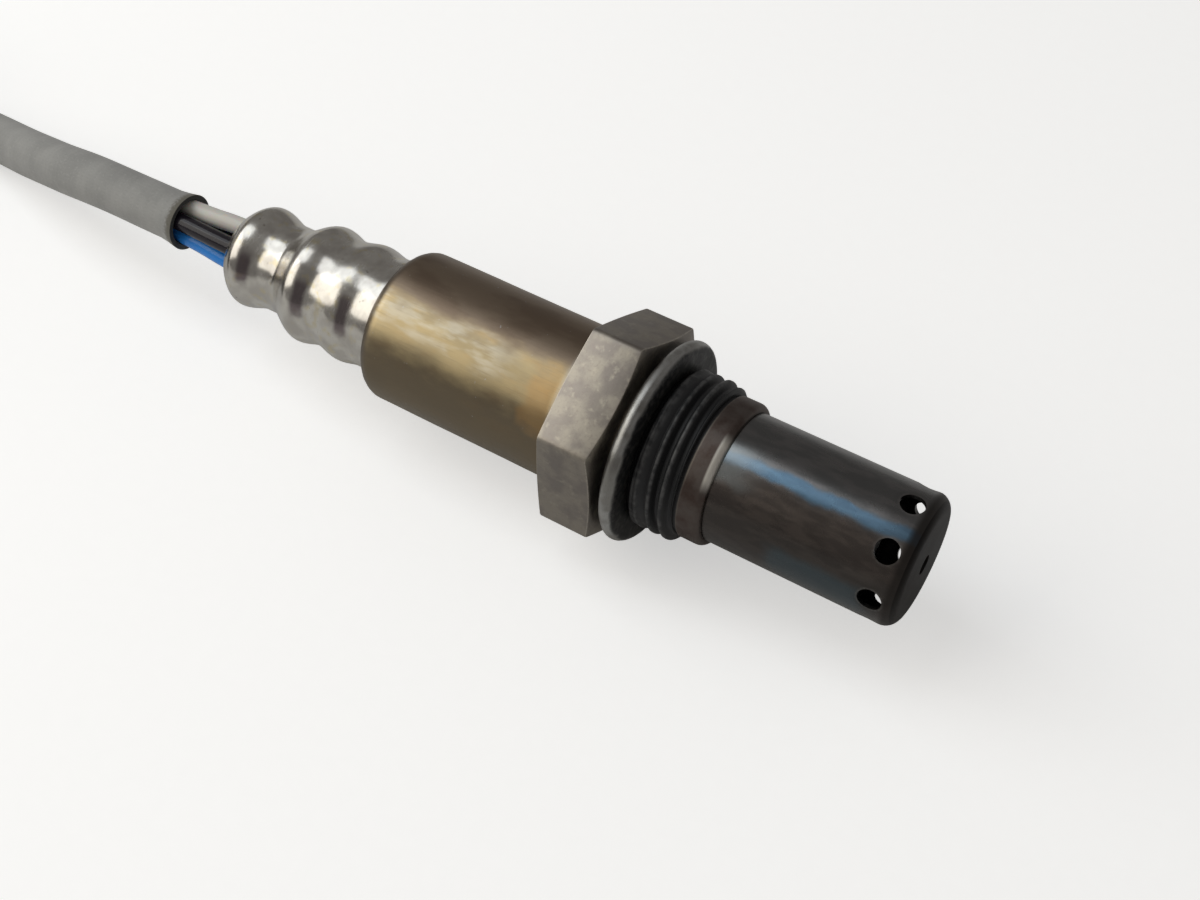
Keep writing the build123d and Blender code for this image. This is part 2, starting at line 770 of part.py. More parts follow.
# Seal: a rubber block in the plug's rear, with one hole for each lead
with BuildPart() as connector_seal:
    with BuildSketch(plug_plane.offset(slide_clearance)):
        RectangleRounded(
            mouth_width - 2 * press_clearance, mouth_height - 2 * press_clearance, plug_inner_corner
        )
        with GridLocations(cavity_pitch, cavity_pitch, 2, 2):
            Circle(lead_radius + press_clearance, mode=Mode.SUBTRACT)
    extrude(amount=plug_seal_depth - slide_clearance)
save(connector_seal, "connector_seal")

# Pin lock: a plate at the bottom of the mouth that keeps the four pins in place
with BuildPart() as connector_lock:
    with BuildSketch(plug_plane.offset(mouth_floor)):
        RectangleRounded(
            mouth_width - 2 * slide_clearance, mouth_height - 2 * slide_clearance, plug_inner_corner
        )
        with GridLocations(cavity_pitch, cavity_pitch, 2, 2):
            Rectangle(
                pin_width + 2 * slide_clearance, pin_thickness + 2 * slide_clearance, mode=Mode.SUBTRACT
            )
    extrude(amount=lock_thickness)
save(connector_lock, "connector_lock")

# Pins and their leads, which leave the end of the upper turn and bend inwards to the plug
turn_end_plane = Plane(
    origin=(coil_centre_x - coil_radius, coil_centre[1], upper_turn_z), x_dir=(1, 0, 0), z_dir=(0, -1, 0)
)
bundle_side = bundle_circle / math.sqrt(2)
pin_tip = plug_length - pin_tip_setback
for lead_name, (column, row) in plug_cells.items():
    cell_x = column * cavity_pitch / 2
    cell_y = row * cavity_pitch / 2
    with BuildPart() as pin:
        with BuildSketch(plug_plane.offset(pin_start)):
            with Locations((cell_x, cell_y)):
                Circle(barrel_radius)
                Circle(core_radius + press_clearance, mode=Mode.SUBTRACT)
        extrude(amount=barrel_length)
        with BuildSketch(plug_plane.offset(pin_start + barrel_length)):
            with Locations((cell_x, cell_y)):
                Rectangle(pin_width, pin_thickness)
        extrude(amount=pin_tip - pin_start - barrel_length)
        chamfer(pin.faces().sort_by(Axis.X)[-1].edges(), pin_tip_chamfer)
    save(pin, f"connector_pin_{lead_name}")
    start = turn_end_plane.from_local_coords(Vector(column * bundle_side, row * bundle_side, 0))
    entrance = plug_plane.from_local_coords(Vector(cell_x, cell_y, -plug_lead_straight))
    lead_points = [
        start,
        Vector(start.X, entrance.Y, start.Z),
        entrance,
        plug_plane.from_local_coords(Vector(cell_x, cell_y, pin_start)),
    ]
    with BuildPart() as plug_lead:
        with BuildLine() as lead_path:
            FilletPolyline(*lead_points, radius=lead_bend)
        with BuildSketch(Plane(origin=start, z_dir=(0, -1, 0))):
            Circle(lead_radius)
        sweep(path=lead_path.line)
        with BuildSketch(plug_plane.offset(pin_start)):
            with Locations((cell_x, cell_y)):
                Circle(core_radius)
        extrude(amount=barrel_length)
    save(plug_lead, f"plug_lead_{lead_name}")
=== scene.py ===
# %% [markdown]
# # Heated exhaust oxygen sensor
# The sensor is a turned and crimped steel object, about 85 mm long. Four leads leave its rear and
# run into a woven sleeve, which ends at a four-way plug. The imported CAD model gives every place
# and size. Here each surface gets its real finish, and the thread, the hexagon, the gasket, the
# cover, the crimped sleeve, the leads and the harness get the detail that plain solids lack.
# Lengths are written in millimetres and scaled by MM.
#
# The CAD model comes in first. Nothing may grow out of it.

# %% Load the CAD model
import math

import bmesh
import bpy
from mathutils import Matrix, Vector, noise


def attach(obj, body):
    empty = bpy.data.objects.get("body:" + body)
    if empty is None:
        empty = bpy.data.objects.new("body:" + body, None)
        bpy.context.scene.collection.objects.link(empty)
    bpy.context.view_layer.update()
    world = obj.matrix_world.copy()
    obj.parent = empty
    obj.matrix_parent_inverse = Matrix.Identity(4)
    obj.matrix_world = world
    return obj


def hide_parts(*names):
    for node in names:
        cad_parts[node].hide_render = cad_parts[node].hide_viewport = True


MM = 0.001

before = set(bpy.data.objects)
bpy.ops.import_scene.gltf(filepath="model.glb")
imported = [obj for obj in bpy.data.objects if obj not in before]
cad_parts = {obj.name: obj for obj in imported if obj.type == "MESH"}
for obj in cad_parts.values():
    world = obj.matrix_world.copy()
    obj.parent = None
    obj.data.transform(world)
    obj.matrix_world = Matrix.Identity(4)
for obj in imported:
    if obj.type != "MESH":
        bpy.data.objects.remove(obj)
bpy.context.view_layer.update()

# %% [markdown]
# ## Camera
# The photograph looks down on the sensor from its right side, at about fifty degrees above the
# table, with the tip to the right. The hexagon's corners, the thread and the rings fix one camera,
# and that camera has no roll, so aiming it at a point just beside the axis is enough.

# %% Camera
camera_place = Vector((52.895, -98.593, 131.345))
camera_aim = Vector((-5.785, -4.343, 0))

camera_data = bpy.data.cameras.new("camera")
camera_data.lens = 48.82
camera_data.sensor_width = 36
camera_data.clip_start = 0.01
camera_data.clip_end = 20
camera = bpy.data.objects.new("camera", camera_data)
camera.location = camera_place * MM
camera.rotation_mode = "QUATERNION"
camera.rotation_quaternion = (camera_aim - camera_place).to_track_quat("-Z", "Y")
bpy.context.scene.collection.objects.link(camera)
bpy.context.scene.camera = camera
print("camera at", [round(value, 4) for value in camera.location])

# %% [markdown]
# ## Harness route
# The harness leaves the sensor straight, sinks to the table and runs out of the picture. There it lies in
# one flat turn and a quarter of a second one on top of it, and ends at its plug. One NURBS spline carries
# it: the free stretch is a few listed points, and the turns come from a loop. The corners of a polygon
# drawn around a circle make this kind of spline follow the circle.

# %% Harness route
harness_diameter = 6.3
harness_route = [(-66.4, 0, 0), (-78, 0, 0), (-93, 1.9, -3.6), (-109, 6.5, -9.55), (-126, 6.5, -9.55)]
coil_centre = (-148.0, -27.5)
coil_radius = 34.0
coil_start = 90
coil_end = 540
coil_step = 15
climb_start = 375
climb_end = 425
lower_z = -9.55
upper_z = lower_z + harness_diameter
coil_end_point = (coil_centre[0] - coil_radius, coil_centre[1], upper_z)
harness_resolution = 16


def smooth_share(value, start, end):
    """How far a value has come from a start to an end, from 0 to 1, easing in and out."""
    share = min(max((value - start) / (end - start), 0), 1)
    return share * share * (3 - 2 * share)


def coil_points():
    """Corners of the polygon around the coil, climbing on to the first turn at its end."""
    corner_radius = coil_radius / math.cos(math.radians(coil_step / 2))
    points = []
    for step in range((coil_end - coil_start) // coil_step):
        angle = coil_start + (step + 0.5) * coil_step
        across = corner_radius * math.cos(math.radians(angle))
        along = corner_radius * math.sin(math.radians(angle))
        height = lower_z + (upper_z - lower_z) * smooth_share(angle, climb_start, climb_end)
        points.append((coil_centre[0] + across, coil_centre[1] + along, height))
    return points


def spline_points(route, resolution):
    """Places along the NURBS spline that has a route's points, in millimetres, as control points."""
    curve = bpy.data.curves.new("route", "CURVE")
    curve.dimensions = "3D"
    spline = curve.splines.new("NURBS")
    spline.points.add(len(route) - 1)
    for point, place in zip(spline.points, route):
        point.co = (*(Vector(place) * MM), 1)
    spline.order_u = 3
    spline.use_endpoint_u = True
    spline.resolution_u = resolution
    carrier = bpy.data.objects.new("route", curve)
    line = bpy.data.meshes.new_from_object(carrier)
    places = [vertex.co.copy() for vertex in line.vertices]
    bpy.data.objects.remove(carrier)
    bpy.data.curves.remove(curve)
    bpy.data.meshes.remove(line)
    return places


harness_line = spline_points(harness_route + coil_points() + [coil_end_point], harness_resolution)
harness_length = sum((b - a).length for a, b in zip(harness_line, harness_line[1:]))
print("harness line", len(harness_line), "places, length", round(harness_length, 4))

# %% [markdown]
# ## Finishes as sums
# A finish is written as sums and products of values that change over the surface. A Wire is such a
# value, and a Paint is a material in the making: constants go straight on its shader, and what
# varies comes from the place on the object, in millimetres.

# %% Wire and Paint


class Wire:
    """A value in a material that can stand in sums and products."""

    def __init__(self, paint, socket):
        self.paint = paint
        self.socket = socket

    def other(self, name):
        """Another output of the same node."""
        return Wire(self.paint, self.socket.node.outputs[name])

    def __add__(self, value):
        return self.paint.maths("ADD", self, value)

    def __radd__(self, value):
        return self.paint.maths("ADD", value, self)

    def __sub__(self, value):
        return self.paint.maths("SUBTRACT", self, value)

    def __rsub__(self, value):
        return self.paint.maths("SUBTRACT", value, self)

    def __mul__(self, value):
        return self.paint.maths("MULTIPLY", self, value)


class Paint:
    """A material in the making, with places given in millimetres."""

    def __init__(self, name, constants):
        self.material = bpy.data.materials.new(name)
        self.material.use_nodes = True
        self.tree = self.material.node_tree
        self.shader = self.tree.nodes["Principled BSDF"]
        for socket_name, value in constants.items():
            self.shader.inputs[socket_name].default_value = value
        metres = self.node("TexCoord", output="Object")
        self.place = self.node("VectorMath", {"operation": "SCALE"}, {"Vector": metres, "Scale": 1 / MM})
        self.x = self.node("SeparateXYZ", inputs={"Vector": self.place})
        self.y = self.x.other("Y")
        self.z = self.x.other("Z")

    def node(self, kind, settings=None, inputs=None, output=0):
        """A new node: its settings first, then its inputs, as wires or plain values."""
        made = self.tree.nodes.new("ShaderNode" + kind)
        for name, value in (settings or {}).items():
            setattr(made, name, value)
        for name, value in (inputs or {}).items():
            self.join(made.inputs[name], value)
        return Wire(self, made.outputs[output])

    def join(self, socket, value):
        if isinstance(value, Wire):
            self.tree.links.new(value.socket, socket)
        else:
            socket.default_value = value

    def maths(self, operation, *values):
        return self.node("Math", {"operation": operation}, dict(enumerate(values)))

    def ramp(self, value, low, high):
        """0 below a low value and 1 above a high one, eased in between."""
        bounds = {"Value": value, "From Min": low, "From Max": high}
        return self.node("MapRange", {"interpolation_type": "SMOOTHSTEP"}, bounds)

    def band(self, value, low, high, edge):
        """1 between two values and 0 outside, with soft edges."""
        return self.ramp(value, low - edge, low) - self.ramp(value, high, high + edge)

    def mix(self, share, first, second):
        """A colour between two others; a plain colour is three numbers."""
        full = [(*colour, 1) if isinstance(colour, tuple) else colour for colour in (first, second)]
        settings = {"data_type": "RGBA"}
        return self.node("Mix", settings, {0: share, 6: full[0], 7: full[1]}, output=2)

    def noise(self, scale, detail=2, stretch=(1, 1, 1)):
        """Cloudy values around a half, with so many clouds in a millimetre."""
        pulled = self.node("VectorMath", {"operation": "MULTIPLY"}, {0: self.place, 1: stretch})
        return self.node("TexNoise", None, {"Vector": pulled, "Scale": scale, "Detail": detail})

    def attribute(self, name):
        return self.node("Attribute", {"attribute_name": name}, output="Fac")

    def angle(self):
        """Angle about the sensor's axis in degrees, from straight up towards -Y."""
        turn = self.maths("ARCTAN2", self.y * -1, self.z)
        return turn * math.degrees(1)

    def radius(self):
        """Distance from the sensor's axis."""
        return self.maths("SQRT", self.y * self.y + self.z * self.z)

    def bump(self, height, depth, strength=1.0):
        """A normal from a height between 0 and 1 that stands for a depth in millimetres."""
        inputs = {"Strength": strength, "Distance": depth * MM, "Height": height}
        return self.node("Bump", None, inputs)

    def done(self, **varying):
        """Joins what varies to the shader and gives the material."""
        for name, value in varying.items():
            self.join(self.shader.inputs[name.replace("_", " ")], value)
        return self.material


# %% [markdown]
# ## Stage
# A pale floor lies under the hexagon's lowest corner. The photograph was cut out on white, while
# the real floor still shows as a middle grey in the bright metal. So the floor is pale grey, and a
# little glow that only the camera meets lifts it to near white.
#
# Two soft boxes draw the highlights. Both lean back towards the harness, so that slopes facing the
# tip stay dark while level tubes and slopes facing the harness shine. The upper box reaches
# forward to the protector, where it draws one narrow line. The lower one stops short of it, and on
# the cover and the crimped sleeve it adds a second, warmer highlight. A thin gap parts the two.

# %% Stage
hex_flat_radius = 11.0
hex_corner_radius = hex_flat_radius / math.cos(math.radians(30))
floor_size = 12.0
room_light = 0.2
box_distance = 0.6
box_glow = 1.45
box_target_x = -20


def floor_finish():
    """Matt paper with a faint grain, lifted to near white for the camera alone."""
    paint = Paint("floor_paper", {"Roughness": 0.9, "Emission Strength": 0.5})
    grain = paint.noise(0.6, 3)
    colour = paint.mix(grain, (0.84, 0.84, 0.835), (0.88, 0.88, 0.875))
    seen = paint.node("LightPath", output="Is Camera Ray")
    glow = paint.mix(seen, (0.0, 0.0, 0.0), (1.0, 1.0, 0.995))
    return paint.done(Base_Color=colour, Emission_Color=glow)


def placed(name, mesh):
    """Puts a bmesh into the scene as an object, and frees it."""
    data = bpy.data.meshes.new(name)
    mesh.to_mesh(data)
    mesh.free()
    made = bpy.data.objects.new(name, data)
    bpy.context.scene.collection.objects.link(made)
    return made


def build_floor():
    mesh = bmesh.new()
    bmesh.ops.create_grid(mesh, x_segments=1, y_segments=1, size=floor_size / 2)
    floor = placed("floor", mesh)
    floor.location = (0, 0, -hex_corner_radius * MM)
    floor.data.materials.append(floor_finish())


def soft_box(name, tilts, leans, colour):
    """A studio light between two tilts about the sensor's axis and two leans back along it."""
    tilt, half_tilt = (math.radians(sum(tilts) / 2), math.radians(tilts[1] - tilts[0]) / 2)
    lean, half_lean = (math.radians(sum(leans) / 2), math.radians(leans[1] - leans[0]) / 2)
    data = bpy.data.lights.new(name, "AREA")
    data.shape = "RECTANGLE"
    data.size = 2 * box_distance * math.tan(half_lean)
    data.size_y = 2 * box_distance * math.tan(half_tilt)
    data.energy = box_glow * math.pi * data.size * data.size_y
    data.color = colour
    light = bpy.data.objects.new(name, data)
    upright = math.cos(lean) * box_distance
    out = Vector((-math.sin(lean) * box_distance, -math.sin(tilt) * upright, math.cos(tilt) * upright))
    light.location = out + Vector((box_target_x * MM, 0, 0))
    light.rotation_mode = "YXZ"
    light.rotation_euler = (tilt, -lean, 0)
    bpy.context.scene.collection.objects.link(light)


def build_room():
    bpy.context.scene.view_settings.view_transform = "Standard"
    world = bpy.data.worlds.new("studio")
    bpy.context.scene.world = world
    world.use_nodes = True
    background = world.node_tree.nodes["Background"]
    background.inputs["Color"].default_value = (1.0, 0.96, 0.92, 1)
    background.inputs["Strength"].default_value = room_light


build_floor()
build_room()
soft_box("soft_box_upper", (-11, 17), (7, 64), (0.93, 0.97, 1.0))
soft_box("soft_box_lower", (22, 62), (20, 72), (1.0, 0.96, 0.88))

# %% [markdown]
# ## Tools for meshes
# Most pieces are turned, so one function spins a half-section about the sensor's axis. A row of
# the section may depend on the angle: that is how the hexagon, the thread and small dents leave
# the round. Another function lays rings along a line, for the leads and the harness sleeve.

# %% Mesh tools
axis_columns = 288
crease_angle = math.radians(38)


def shown_piece(name, mesh, replaced, material):
    """Makes a shown piece from a bmesh: on the sensor's body, in place of CAD nodes."""
    piece = placed(name, mesh)
    piece.data.materials.append(material)
    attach(piece, "root")
    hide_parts(*replaced)
    print(name, len(piece.data.polygons), "faces")
    return piece


def mark_creases(mesh, is_smooth=lambda edge: False):
    """Smooths all faces, and marks the edges where they meet sharply."""
    bmesh.ops.recalc_face_normals(mesh, faces=mesh.faces)
    for face in mesh.faces:
        face.smooth = True
    for edge in mesh.edges:
        if len(edge.link_faces) == 2 and edge.calc_face_angle() > crease_angle:
            edge.smooth = is_smooth(edge)


def spun(rows, smooth_rows=(), wear_rows=()):
    """A bmesh spun from a closed half-section. A row is (x, radius), or gives these at an angle."""
    mesh = bmesh.new()
    number_layer = mesh.verts.layers.int.new("row")
    wear_layer = mesh.verts.layers.float.new("wear")
    ring = []
    for number, row in enumerate(rows):
        x, radius = row(0) if callable(row) else row
        vertex = mesh.verts.new((x * MM, 0, radius * MM))
        vertex[number_layer] = number
        vertex[wear_layer] = 1.0 if number in wear_rows else 0.0
        ring.append(vertex)
    section = ring + [mesh.edges.new(pair) for pair in zip(ring, ring[1:] + ring[:1])]
    turn = {"cent": (0, 0, 0), "axis": (1, 0, 0), "angle": math.tau, "steps": axis_columns}
    bmesh.ops.spin(mesh, geom=section, use_merge=True, **turn)
    for vertex in mesh.verts:
        row = rows[vertex[number_layer]]
        if callable(row):
            angle = math.atan2(-vertex.co.y, vertex.co.z)
            x, radius = row(angle)
            vertex.co = (x * MM, -radius * math.sin(angle) * MM, radius * math.cos(angle) * MM)
    mark_creases(mesh, lambda edge: all(v[number_layer] in smooth_rows for v in edge.verts))
    return mesh


def rounded(start_x, radius, length, drop, turns):
    """Rows on a quarter round: level at a radius at 0 degrees, and lower by a drop at 90."""
    bends = [math.radians(turn) for turn in turns]
    return [(start_x + length * math.sin(bend), radius - drop * (1 - math.cos(bend))) for bend in bends]


def rings_along(mesh, line, sides, outline):
    """Rings of vertices along a line. The outline gives the radius at a distance and an angle."""
    side = Vector((0, 0, 1))
    distance = 0.0
    rings = []
    for number, place in enumerate(line):
        before = line[max(number - 1, 0)]
        along = (line[min(number + 1, len(line) - 1)] - before).normalized()
        distance += (place - before).length
        side = (side - along * side.dot(along)).normalized()
        across = along.cross(side)
        ring = []
        for step in range(sides):
            angle = math.tau * step / sides
            reach = outline(distance / MM, angle) * MM
            ring.append(mesh.verts.new(place + (side * math.cos(angle) + across * math.sin(angle)) * reach))
        rings.append(ring)
    return rings


def bridge(mesh, rings):
    """Faces between rings of as many vertices, in order."""
    for first, second in zip(rings, rings[1:]):
        for step in range(len(first)):
            mesh.faces.new((first[step - 1], first[step], second[step], second[step - 1]))


# %% [markdown]
# ## Threaded body
# The body is turned from hexagonal bar: nose, thread, hexagon and the collar inside the cover. Its
# thread is an M18 x 1.5 with right-handed turns, cut into the rows of the spun section and ended
# by the chamfer. The hexagon's corners are rounded a little, and turned chamfers cut its ends:
# wide at the front and hardly any at the rear, where the cover butts.
#
# The steel is blotched by heat, with pale worn edges. Black anti-seize paste fills the thread, and only the
# crests shine through it. The nose has a brown tint. In the photograph its rolled edge has a pale crescent,
# and the flat that faces the camera is paler than its neighbours. Here the crescent is a painted highlight,
# and all the other flats are painted darker as painted shade. Both are painted in by angle, to match the
# photograph from its own side.

# %% Threaded body
thread_pitch = 1.5
thread_radius = 9.0
root_radius = 8.1
thread_reach = 5.1
thread_chamfer = 0.6
thread_row_pitch = 0.075
thread_start_slope = 1.6
crest_half = 0.094
flank_width = 0.53
hex_front_x = -2.95
hex_rear_x = -9.45
hex_face_radius = 10.7
hex_front_slope = math.tan(math.radians(15))
hex_rear_slope = math.tan(math.radians(6))
hex_edge_round = 0.14
hex_corner_round = 0.6
hex_rear_inset = 0.2
hex_front_inset = 0.1
nose_groove = 7.85
nose_groove_front_x = 5.6
roll_start_x = 7.4
roll_length = 0.8
roll_drop = 0.65
roll_rim_radius = 7.45
paste_radius = 8.93
paste_ends = (0.9, 2.9)
collar_rear_x = -14.324
collar_radius = 8.25
collar_mouth_radius = 5.3
packing_rear_x = -13.324
packing_radius = 6.4
element_bore_radius = 4.6
pocket_rear_x = 6.5
pocket_radius = 7.63
lip_radius = 7.33


def thread_row(x):
    """A row of the thread: its turns inside the chamfered envelope, filled with paste at first."""

    def place(angle):
        phase = (x / thread_pitch - angle / math.tau) % 1
        from_crest = abs(phase - 0.5) * thread_pitch
        depth = smooth_share(from_crest, crest_half, crest_half + flank_width)
        radius = thread_radius - depth * (thread_radius - root_radius)
        filled = paste_radius - smooth_share(x, *paste_ends) * (paste_radius - root_radius)
        chamfered = thread_radius - (x - thread_reach + thread_chamfer)
        started = root_radius + x * thread_start_slope
        return x, max(min(max(radius, filled), chamfered, started), root_radius)

    return place


def hex_radius(angle):
    """Radius of the hexagon at an angle, with its corners rounded."""
    from_corner = (angle + math.pi / 6) % (math.pi / 3) - math.pi / 6
    flat = hex_flat_radius / math.cos(math.pi / 6 - abs(from_corner))
    centre = (hex_flat_radius - hex_corner_round) / math.cos(math.pi / 6)
    offset = centre * math.sin(from_corner)
    if abs(offset) > hex_corner_round / 2:
        return flat
    return centre * math.cos(from_corner) + math.sqrt(hex_corner_round**2 - offset**2)


def hex_row(end_x, inward, slope, along, drop):
    """A row beside the edge between the hexagon's side and the turned chamfer at one end."""

    def place(angle):
        radius = hex_radius(angle)
        edge_x = end_x + inward * (radius - hex_face_radius) * slope
        return edge_x + inward * along * hex_edge_round, radius - drop * hex_edge_round

    return place


def hex_rows():
    """From the rear face to the front one: each edge is three rows that round it."""
    rear_shifts = ((-0.1, 1), (0.1, 0.3), (0.8, 0))
    front_shifts = ((1, 0), (0.15, 0.25), (-0.26, 0.97))
    rear = [hex_row(hex_rear_x, 1, hex_rear_slope, *shift) for shift in rear_shifts]
    front = [hex_row(hex_front_x, -1, hex_front_slope, *shift) for shift in front_shifts]
    first = (hex_rear_x, hex_face_radius - hex_rear_inset)
    return [first] + rear + front + [(hex_front_x, hex_face_radius - hex_front_inset)]


def body_rows():
    """The closed half-section, and the numbers of its thread rows and of its hexagon edge rows."""
    collar = [(collar_rear_x, collar_mouth_radius), (collar_rear_x, 7.25), (-14.03, 7.96)]
    collar += [(packing_rear_x, collar_radius), (hex_rear_x, collar_radius)]
    hexagon = hex_rows()
    shank = [(hex_front_x, root_radius)]
    count = round(thread_reach / thread_row_pitch)
    thread = [thread_row(thread_reach * step / count) for step in range(count + 1)]
    groove = [(thread_reach, nose_groove), (nose_groove_front_x, nose_groove)]
    groove.append((nose_groove_front_x, root_radius))
    roll_top = roll_rim_radius + roll_drop
    roll = rounded(roll_start_x, roll_top, roll_length, roll_drop, range(0, 91, 15))
    roll_end_x = roll_start_x + roll_length
    pocket = [(roll_end_x, lip_radius), (roll_start_x, lip_radius)]
    pocket += [(roll_start_x, pocket_radius), (pocket_rear_x, pocket_radius)]
    bore = [(pocket_rear_x, element_bore_radius), (1.0, element_bore_radius), (-0.8, packing_radius)]
    bore += [(packing_rear_x, packing_radius), (packing_rear_x, collar_mouth_radius)]
    rows = collar + hexagon + shank + thread + groove + roll + pocket + bore
    first_thread = len(collar) + len(hexagon) + len(shank)
    edges = {len(collar) + index for index in (2, 5)}
    return rows, range(first_thread, first_thread + len(thread)), edges


def body_finish():
    """Blotched steel with pale edges, black paste in the thread and a brown nose, with painted shade on the
    flats and a painted highlight on the nose.
    """
    paint = Paint("turned_body_steel", {})
    clouds = paint.noise(0.42, 4)
    spots = paint.noise(1.1, 3)
    fine = paint.noise(3.5, 4)
    steel = paint.mix(paint.ramp(clouds, 0.36, 0.64), (0.31, 0.28, 0.25), (0.46, 0.42, 0.355))
    steel = paint.mix(paint.ramp(spots, 0.55, 0.75) * 0.55, steel, (0.62, 0.57, 0.46))
    steel = paint.mix(paint.ramp(fine, 0.5, 0.75) * 0.3, steel, (0.26, 0.21, 0.2))
    angle = paint.angle()
    # Painted shade: every flat but the one that faces the camera is darker, by angle.
    steel = paint.mix(paint.ramp(angle, 2, -2) * 0.5, steel, (0.17, 0.15, 0.14))
    steel = paint.mix(paint.ramp(angle, 58, 62) * 0.45, steel, (0.16, 0.145, 0.14))
    worn = paint.attribute("wear") * paint.ramp(fine, 0.25, 0.6) * 0.6
    steel = paint.mix(worn, steel, (0.6, 0.56, 0.48))
    crest = paint.ramp(paint.radius(), 8.72, 8.98) * paint.ramp(spots, 0.35, 0.65)
    paste = paint.mix(crest * 0.75, (0.034, 0.035, 0.037), (0.12, 0.12, 0.12))
    # Painted highlight: a pale crescent on the nose's rolled edge, by place and angle.
    painted_crescent_highlight = paint.band(paint.x, 7.6, 8.15, 0.3) * paint.band(angle, 22, 46, 14)
    nose = paint.mix(paint.ramp(clouds, 0.35, 0.65), (0.08, 0.056, 0.048), (0.13, 0.11, 0.1))
    nose = paint.mix(painted_crescent_highlight * 0.95, nose, (0.85, 0.82, 0.75))
    pasted = paint.band(paint.x, hex_front_x + 0.3, thread_reach + 0.25, 0.25)
    colour = paint.mix(paint.ramp(paint.x, 5.3, 5.8), steel, nose)
    colour = paint.mix(pasted, colour, paste)
    rough = 0.48 + pasted * 0.04 + (clouds - 0.5) * 0.25 - worn * 0.1
    height = clouds * 0.5 + fine * 0.35 + paint.noise(9, 2) * 0.15
    return paint.done(
        Base_Color=colour,
        Metallic=1 - pasted * 0.55,
        Roughness=rough,
        Normal=paint.bump(height, 0.035, 0.8),
    )


section, thread_rows, hex_edges = body_rows()
shown_piece("threaded_body", spun(section, thread_rows, hex_edges), ["housing"], body_finish())

# %% [markdown]
# ## Gasket ring
# A ring of sheet steel folded on itself, with a round outer edge, loose on the undercut shank. Its
# front face is smeared with the same paste, and the round edge is bare and softly brushed.

# %% Gasket ring
gasket_front_x = -0.15
gasket_rear_x = -1.95
gasket_bore_radius = 8.25
gasket_edge = (gasket_front_x - gasket_rear_x) / 2
gasket_radius = 11.55
gasket_edge_centre = gasket_radius - gasket_edge
gasket_middle_x = (gasket_front_x + gasket_rear_x) / 2
gasket_seam = 0.07
gasket_seam_turn = 30
gasket_dents = 0.03
gasket_dent_scale = 0.3


def uneven(x, radius, amount, scale):
    """A row that is out of round by a little, as pressed and handled sheet is."""

    def place(angle):
        spot = Vector((x * scale, radius * math.cos(angle) * scale, radius * math.sin(angle) * scale))
        return x, radius + amount * noise.noise(spot)

    return place


def gasket_rows():
    rows = [(gasket_rear_x + 0.1, gasket_bore_radius), (gasket_rear_x, gasket_bore_radius + 0.1)]
    for turn in range(-90, 91, 10):
        x = gasket_middle_x + gasket_edge * math.sin(math.radians(turn))
        seam = gasket_seam if turn == gasket_seam_turn else 0
        radius = gasket_edge_centre + gasket_edge * math.cos(math.radians(turn)) - seam
        rows.append(uneven(x, radius - gasket_dents, gasket_dents, gasket_dent_scale))
    rows += [(gasket_front_x, gasket_bore_radius + 0.1), (gasket_front_x - 0.1, gasket_bore_radius)]
    rows += [(gasket_front_x - 0.4, gasket_bore_radius), (gasket_front_x - 0.5, gasket_edge_centre)]
    rows += [(gasket_rear_x + 0.5, gasket_edge_centre), (gasket_rear_x + 0.4, gasket_bore_radius)]
    return rows


def gasket_finish():
    """Satin sheet steel, with turning lines on its edge and paste on its front face."""
    paint = Paint("folded_sheet_steel", {})
    lines = paint.noise(6, 3, (6, 0.3, 0.3))
    clouds = paint.noise(0.5, 3)
    steel = paint.mix(paint.ramp(clouds, 0.35, 0.65), (0.27, 0.265, 0.25), (0.42, 0.42, 0.41))
    steel = paint.mix(paint.ramp(lines, 0.5, 0.7) * 0.4, steel, (0.2, 0.18, 0.16))
    smeared = paint.ramp(paint.x + (clouds - 0.5) * 0.5, -0.5, -0.2)
    thin = paint.ramp(paint.noise(1.6, 3), 0.45, 0.7)
    paste = paint.mix(thin, (0.014, 0.0145, 0.015), (0.06, 0.058, 0.055))
    return paint.done(
        Base_Color=paint.mix(smeared, steel, paste),
        Metallic=1 - smeared * 0.6,
        Roughness=0.36 + (clouds - 0.5) * 0.25 + smeared * 0.12,
        Normal=paint.bump(lines * 0.6 + clouds * 0.4, 0.02, 0.6),
    )


shown_piece("folded_gasket", spun(gasket_rows()), ["gasket_ring"], gasket_finish())

# %% [markdown]
# ## Main cover
# A drawn steel tube, welded to the collar where it butts on the hexagon, and rounded over at its rear
# mouth. A thin bead stands out at the weld. The welding and the engine's heat have tinted it: straw and tan
# in clouds, an orange patch beside the weld, and dark brown on the rear shoulder. The straw is kept to a
# strip that faces the camera as a painted highlight, with pale painted streaks in it, and the rest is
# painted darker by angle as painted shade. The tints themselves are real, so the far side is a guess.

# %% Main cover
cover_radius = 8.88
cover_inner_radius = 8.28
cover_rear_x = -34.924
cover_shoulder = 1.97
cover_mouth_radius = 6.91
cover_wall = 0.6
cover_row_pitch = 0.8
cover_dents = 0.025
cover_dent_inset = 0.015
cover_dent_scale = 0.22
weld_bead = ((-9.47, 8.94), (-9.55, 9.03), (-9.75, 9.06), (-9.95, 8.99), (-10.08, 8.86), (-10.2, 8.84))


